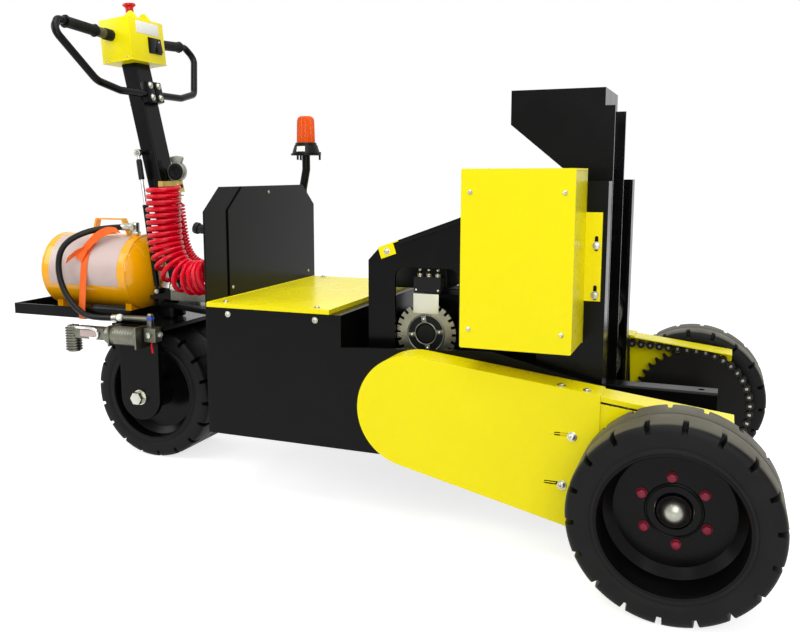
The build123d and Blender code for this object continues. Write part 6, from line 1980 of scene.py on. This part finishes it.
@dataclass
class AirTank:
    """The tank's seams, its blank label and the strap that ties it to the tray."""

    x_back: float = -1.021
    x_front: float = -0.705
    z: float = 0.563
    radius: float = 0.118
    label_x: tuple[float, float] = (-0.996, -0.729)
    label_turn: tuple[float, float] = (108, 90)
    strap_x: float = -0.853
    strap_w: float = 0.025
    strap_thick: float = 0.0012
    # Section of a rolled joint: along the tank, and away from its shell
    joint: tuple = (
        (0, -0.001),
        (0.0025, 0.0009),
        (0.005, 0.0013),
        (0.007, 0.0013),
        (0.0095, 0.0009),
        (0.012, -0.001),
    )
    # Each loose tail: its line, and the way across the webbing
    tails: tuple = (
        (
            (
                (-0.852, -0.098, 0.640),
                (-0.872, -0.121, 0.632),
                (-0.893, -0.130, 0.616),
                (-0.912, -0.132, 0.600),
            ),
            (0.45, -0.15, 0.80),
        ),
        (
            (
                (-0.851, -0.094, 0.645),
                (-0.832, -0.094, 0.668),
                (-0.808, -0.082, 0.690),
                (-0.786, -0.060, 0.701),
                (-0.764, -0.048, 0.694),
            ),
            (-0.62, -0.1, 0.62),
        ),
        (
            (
                (-0.871, -0.121, 0.606),
                (-0.858, -0.112, 0.634),
                (-0.838, -0.097, 0.664),
                (-0.815, -0.076, 0.689),
            ),
            (0.80, 0.05, -0.35),
        ),
    )
    knot_at: tuple = (-0.853, -0.101, 0.641)
    knot: tuple = (0.024, 0.009, 0.020)
    # Shift in x and z and tilt in degrees of each turn of the knot
    knot_turns: tuple = ((0, 0, 0), (0.004, 0.003, 35), (-0.004, -0.002, -30))
    knot_degrees: float = -40
    tray_edge_y: float = 0.1372
    tray_low_z: float = 0.4218
    tray_top_z: float = 0.4575

    def build(self) -> None:
        """Dresses the tank."""
        self._seams()
        self._label()
        self._strap()

    def _seams(self) -> None:
        """Rolls the two joints where the domes meet the shell."""
        seams = Workpiece("tank_seams")
        for x in (self.x_back, self.x_front):
            profile = [(along, self.radius + away) for along, away in self.joint]
            seams.lathe((x - 0.006, 0, self.z), X_AXIS, profile, 96)
        seams.done(TANK_ENAMEL, "steering")

    def _label(self) -> None:
        """Wraps the plain label round the side that faces the kerb."""
        label = Workpiece("tank_label")
        near, far = self.label_x
        wide, r = far - near, self.radius
        profile = [(0, r + 0.0006), (0.004, r + 0.0007), (wide - 0.004, r + 0.0007), (wide, r + 0.0006)]
        label.lathe((near, 0, self.z), X_AXIS, profile, 40, angles=self.label_turn)
        label.done(PAPER_LABEL, "steering")

    def _strap(self) -> None:
        """Lays the webbing round tank and tray, with its knot and two tails."""
        loop = [Vector((self.strap_x, y, z)) for y, z in self._loop()]
        strap = Workpiece("tank_strap")
        self._ribbon(strap, [(place, X_AXIS) for place in loop])
        piece = strap.done(STRAP_WEBBING, "steering")
        tails = Workpiece("tank_strap_tails")
        for row, across in self.tails:
            line = route_points(list(row))
            way = Vector(across).normalized()
            self._ribbon(tails, [(place, way) for place in line[:: max(1, len(line) // 24)]])
        tails_piece = tails.done(STRAP_WEBBING, "steering")
        knot = Workpiece("tank_strap_knot")
        x, y, z = self.knot_at
        slope = Matrix.Rotation(radians(self.knot_degrees), 3, "X")
        for dx, dz, tilt in self.knot_turns:
            turn = slope @ Matrix.Rotation(radians(tilt), 3, "Y")
            knot.block((x + dx, y, z + dz), self.knot, 0.0035, turn)
        knot_piece = knot.done(STRAP_WEBBING, "steering")

    def _loop(self) -> list[tuple[float, float]]:
        """Traces the strap's line over the tank, down to the tray's edges and under it.

        Returns:
            Each point's y and z, ending a little past the start.
        """
        r = self.radius + 0.0032
        edge, low, top = self.tray_edge_y, self.tray_low_z, self.tray_top_z
        grip = asin(min(1.0, r / hypot(edge, self.z - top)))
        start = -atan2(self.z - top, edge) + (pi / 2 - grip)
        angles = [start + (pi - 2 * start) * index / 32 for index in range(33)]
        over = [(-r * cos(angle), self.z + r * sin(angle)) for angle in angles]
        far = [(edge, top), (edge, (top + low) / 2), (edge, low)]
        under = [(edge * (1 - 2 * index / 8), low) for index in range(1, 8)]
        near = [(-edge, low), (-edge, (top + low) / 2), (-edge, top)]
        return near[1:] + over + far + under + near[:2]

    def _ribbon(self, work: Workpiece, rows: list) -> None:
        """Lays webbing of the strap's width along a line.

        Args:
            work: The piece that takes it.
            rows: Each place on the line with the way across the webbing.
        """
        known = set(work.shape.verts)
        place, across = rows[0]
        pair = [work.shape.verts.new(place + across * (way * self.strap_w / 2)) for way in LEFT_RIGHT]
        edge = work.shape.edges.new(pair)
        for place, across in rows[1:]:
            grown = bmesh.ops.extrude_edge_only(work.shape, edges=[edge])["geom"]
            edge = next(item for item in grown if isinstance(item, bmesh.types.BMEdge))
            old = sum((vert.co for vert in edge.verts), Vector()) / 2
            before = (edge.verts[1].co - edge.verts[0].co).normalized()
            bmesh.ops.translate(work.shape, verts=edge.verts, vec=place - old)
            flip = 1 if before.dot(across) > 0 else -1
            for vert, way in zip(edge.verts, LEFT_RIGHT):
                vert.co = place + across * (flip * way * self.strap_w / 2)
        made = [vert for vert in work.shape.verts if vert not in known]
        faces = list(dict.fromkeys(face for vert in made for face in vert.link_faces))
        bmesh.ops.recalc_face_normals(work.shape, faces=faces)
        bmesh.ops.solidify(work.shape, geom=faces, thickness=self.strap_thick)


@dataclass
class Compressor:
    """The air compressor under the tray, with its finned head, motor can and pipe."""

    y: float = -0.206
    z: float = 0.396
    head_x: float = -0.828
    fins: int = 9
    # Sections along each axle and away from it
    can: tuple = ((0, 0), (0, 0.021), (0.004, 0.0265), (0.010, 0.0285), (0.018, 0.0285))
    can_rib: tuple = ((0, 0.0285), (0.0012, 0.0272), (0.0042, 0.0272), (0.0054, 0.0285))
    can_end: tuple = ((0.112, 0.0285), (0.117, 0.0265), (0.122, 0.0200), (0.1248, 0.0120), (0.1248, 0))
    head_fin: tuple = ((0, 0.0180), (0.0006, 0.0246), (0.0034, 0.0246), (0.0040, 0.0180))
    head_end: tuple = ((0.0775, 0.0180), (0.0800, 0.0160), (0.0815, 0))
    pipe: tuple = (
        (-0.815, -0.216, 0.414),
        (-0.800, -0.232, 0.416),
        (-0.775, -0.236, 0.416),
        (-0.735, -0.236, 0.418),
        (-0.716, -0.232, 0.410),
        (-0.716, -0.229, 0.392),
        (-0.728, -0.229, 0.384),
        (-0.748, -0.226, 0.386),
    )
    pipe_r: float = 0.0042

    def build(self) -> None:
        """Turns the head and the motor and bolts them to the crankcase."""
        work = Workpiece("compressor_unit")
        can, head = list(self.can), [(0, 0), (0, 0.0180)]
        for fin in range(self.fins):
            can += [(0.020 + fin * 0.0095 + along, away) for along, away in self.can_rib]
            head += [(0.004 + fin * 0.0082 + along, away) for along, away in self.head_fin]
        work.lathe((-0.698, self.y, self.z), X_AXIS, can + list(self.can_end), 40)
        work.block((-0.756, self.y, 0.398), (0.112, 0.036, 0.036), 0.004)
        work.rod((-0.806, self.y, 0.398), (-0.816, self.y, 0.398), 0.0185, sides=28, edge=0.002)
        work.lathe((self.head_x, self.y, 0.3365), Z_AXIS, head + list(self.head_end), 40)
        for angle in (45, 135, 225, 315):
            x, y = self.head_x + 0.0135 * cos(radians(angle)), self.y + 0.0135 * sin(radians(angle))
            work.hex_bolt((x, y, 0.4165), (0, 0, 1), 0.006, 0.0012)
        for x, height in ((-0.573, 0.066), (-0.671, 0.060)):
            work.block((x - 0.003, -0.2042, self.z), (0.006, 0.0636, height), 0.0012)
        work.done(GREY_CASTING, "steering", "compressor")
        pipe = Workpiece("compressor_pipe")
        pipe.pipe(list(self.pipe), self.pipe_r)
        pipe.done(CHROME, "steering")
        label = Workpiece("compressor_label")
        label.block((-0.756, self.y - 0.0183, 0.398), (0.062, 0.0006, 0.020), 0.0002)
        label.done(PAPER_LABEL, "steering")


@dataclass
class Valve:
    """The drain valve's toggle and the small fittings on the fork."""

    toggle: tuple = (
        (-0.545, -0.199, 0.3835),
        (-0.543, -0.203, 0.374),
        (-0.538, -0.208, 0.362),
        (-0.533, -0.211, 0.352),
    )
    toggle_r: float = 0.0032
    # Seat, direction, size across the flats, height, flange and stud of each hexagon
    hexagons: tuple = (
        ((-0.548, -0.207, 0.4035), (0, -1, 0), 0.017, 0.007, 0, 0),
        ((-0.526, -0.1895, 0.4035), (1, 0, 0), 0.015, 0.008, 0, 0.003),
        ((-0.570, -0.1895, 0.4035), (-1, 0, 0), 0.015, 0.006, 0, 0.002),
    )

    def build(self) -> None:
        """Fits the toggle and the hexagons."""
        toggle = Workpiece("valve_toggle")
        toggle.pipe(list(self.toggle), self.toggle_r)
        toggle.done(RED_PLASTIC, "steering")
        metal = Workpiece("valve_fittings")
        for hexagon in self.hexagons:
            metal.hex_bolt(*hexagon)
        metal.rod((-0.560, -0.1825, 0.4565), (-0.560, -0.1825, 0.463), 0.0075, sides=20, edge=0.0015)
        metal.done(ZINC_STEEL, "steering")


@dataclass
class Beacon:
    """The ribbed lens, its retaining ring and its base screws."""

    x: float = -0.276
    y: float = 0.285
    low: float = 0.963
    top: float = 1.054
    radius: float = 0.030
    steps: int = 72
    groove_every: int = 3
    groove_share: float = 0.945
    # Sections up the beacon and away from its middle; the dome's count from the lens's top and edge
    dome: tuple = ((-0.014, -0.002), (-0.005, -0.005), (0, -0.012))
    core: tuple = ((0, 0), (0, 0.016), (0.060, 0.016), (0.066, 0.012), (0.066, 0))
    ring: tuple = ((0, 0.030), (0, 0.0345), (0.006, 0.0345), (0.0075, 0.033), (0.0075, 0.0302))
    foot: tuple = ((0, 0.0372), (0, 0.0440), (0.004, 0.0440), (0.0255, 0.0372))
    foot_z: float = 0.9362
    screw_r: float = 0.0445
    screw_degrees: tuple = (20, 140, 260)
    label: tuple = ((0, 0.0436), (0.0165, 0.0400))
    label_z: float = 0.9415
    label_degrees: tuple = (-18, 40)

    def build(self) -> None:
        """Builds the lens and the base's details."""
        self._lens()
        core = Workpiece("beacon_reflector")
        core.lathe((self.x, self.y, self.low + 0.004), Z_AXIS, list(self.core), 12)
        core.done(AMBER_LENS, "chassis")
        base = Workpiece("beacon_base_parts")
        base.lathe((self.x, self.y, self.low - 0.0005), Z_AXIS, list(self.ring), 48, ring=True)
        base.lathe((self.x, self.y, self.foot_z), Z_AXIS, list(self.foot), 48, ring=True)
        for angle in self.screw_degrees:
            turn = radians(angle)
            spot = (self.x + self.screw_r * cos(turn), self.y + self.screw_r * sin(turn))
            base.rod((*spot, 0.9145), (*spot, 0.9295), 0.0035, sides=16, edge=0.0006)
            base.hex_bolt((*spot, 0.936), (0, 0, 1), 0.008, 0.004)
        base.done(NYLON, "chassis")
        label = Workpiece("beacon_label")
        label.lathe((self.x, self.y, self.label_z), Z_AXIS, list(self.label), 10, angles=self.label_degrees)
        label.done(WHITE_LABEL, "chassis")

    def _lens(self) -> None:
        """Moulds the lens with its upright grooves."""
        lens = Workpiece("beacon_ribbed_lens")
        r, tall = self.radius, self.top - self.low
        profile = [(0.0, 0), (0.0, r - 0.001), (0.004, r)]
        profile += [(tall + along, r + away) for along, away in self.dome] + [(tall, 0)]
        lens.lathe((self.x, self.y, self.low), Z_AXIS, profile, self.steps)
        for vert in lens.shape.verts:
            away = Vector((vert.co.x - self.x, vert.co.y - self.y))
            step = round(atan2(away.y, away.x) / (2 * pi / self.steps))
            if away.length > 0.02 and step % self.groove_every == 0:
                vert.co.x = self.x + away.x * self.groove_share
                vert.co.y = self.y + away.y * self.groove_share
        lens.done(AMBER_LENS, "chassis", "beacon_lens")


@dataclass
class Carriage:
    """Weld lines of the lifting carriage and its drawbar."""

    drawbar_x: float = 0.7185
    drawbar_y: float = 0.0305
    drawbar_z: tuple = (0.2755, 0.3365)
    drawbar_weld_r: float = 0.0032
    # One seam of the hood, as x, y and z
    hood_seam: tuple = ((0.709, 0.1115, 0.880), (0.7095, 0.1115, 0.95), (0.709, 0.1115, 1.058))
    hood_weld_r: float = 0.003

    def build(self) -> None:
        """Runs the weld round the drawbar and the hood's two seams."""
        weld = Workpiece("drawbar_weld")
        x, y, (low, high) = self.drawbar_x, self.drawbar_y, self.drawbar_z
        ring = [(x, -y, low), (x, y, low), (x, y, high), (x, -y, high), (x, -y, low)]
        for start, end in zip(ring, ring[1:]):
            weld.pipe([start, tuple((a + b) / 2 for a, b in zip(start, end)), end], self.drawbar_weld_r)
        for way in LEFT_RIGHT:
            weld.pipe([(x, way * y, z) for x, y, z in self.hood_seam], self.hood_weld_r)
        weld.done(BLACK_POWDER, "carriage")


def dress_nodes() -> None:
    """Gives every CAD node the finish that its record slot names."""
    for name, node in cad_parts.items():
        for position, material in enumerate(node.data.materials):
            key = material.name.split(".")[0] if material else ""
            finish = NODE_FINISHES.get(name) or CAD_FINISHES.get(key)
            if finish:
                node.data.materials[position] = finish.build()
            else:
                log.info("no finish for %s in %s", key, name)


def main() -> None:
    """Builds the whole scene."""
    logging.basicConfig(level=logging.INFO, format="%(name)s: %(message)s")
    bpy.context.scene.view_settings.view_transform = "Standard"
    rear = Tyre("tread_tyre_rear", "rear_tyre", "rear_wheel", (STEER_X, 0, WHEEL_Z), 0.120)
    for assembly in (
        Studio(),
        AirLines(),
        DriveWheels(),
        rear,
        DriveChains(),
        Guards(),
        Body(),
        MotorEnds(),
        ControlHead(),
        Column(),
        Grips(),
        AirTank(),
        Compressor(),
        Valve(),
        Beacon(),
        Carriage(),
    ):
        assembly.build()
    dress_nodes()


if __name__ == "__main__":
    main()
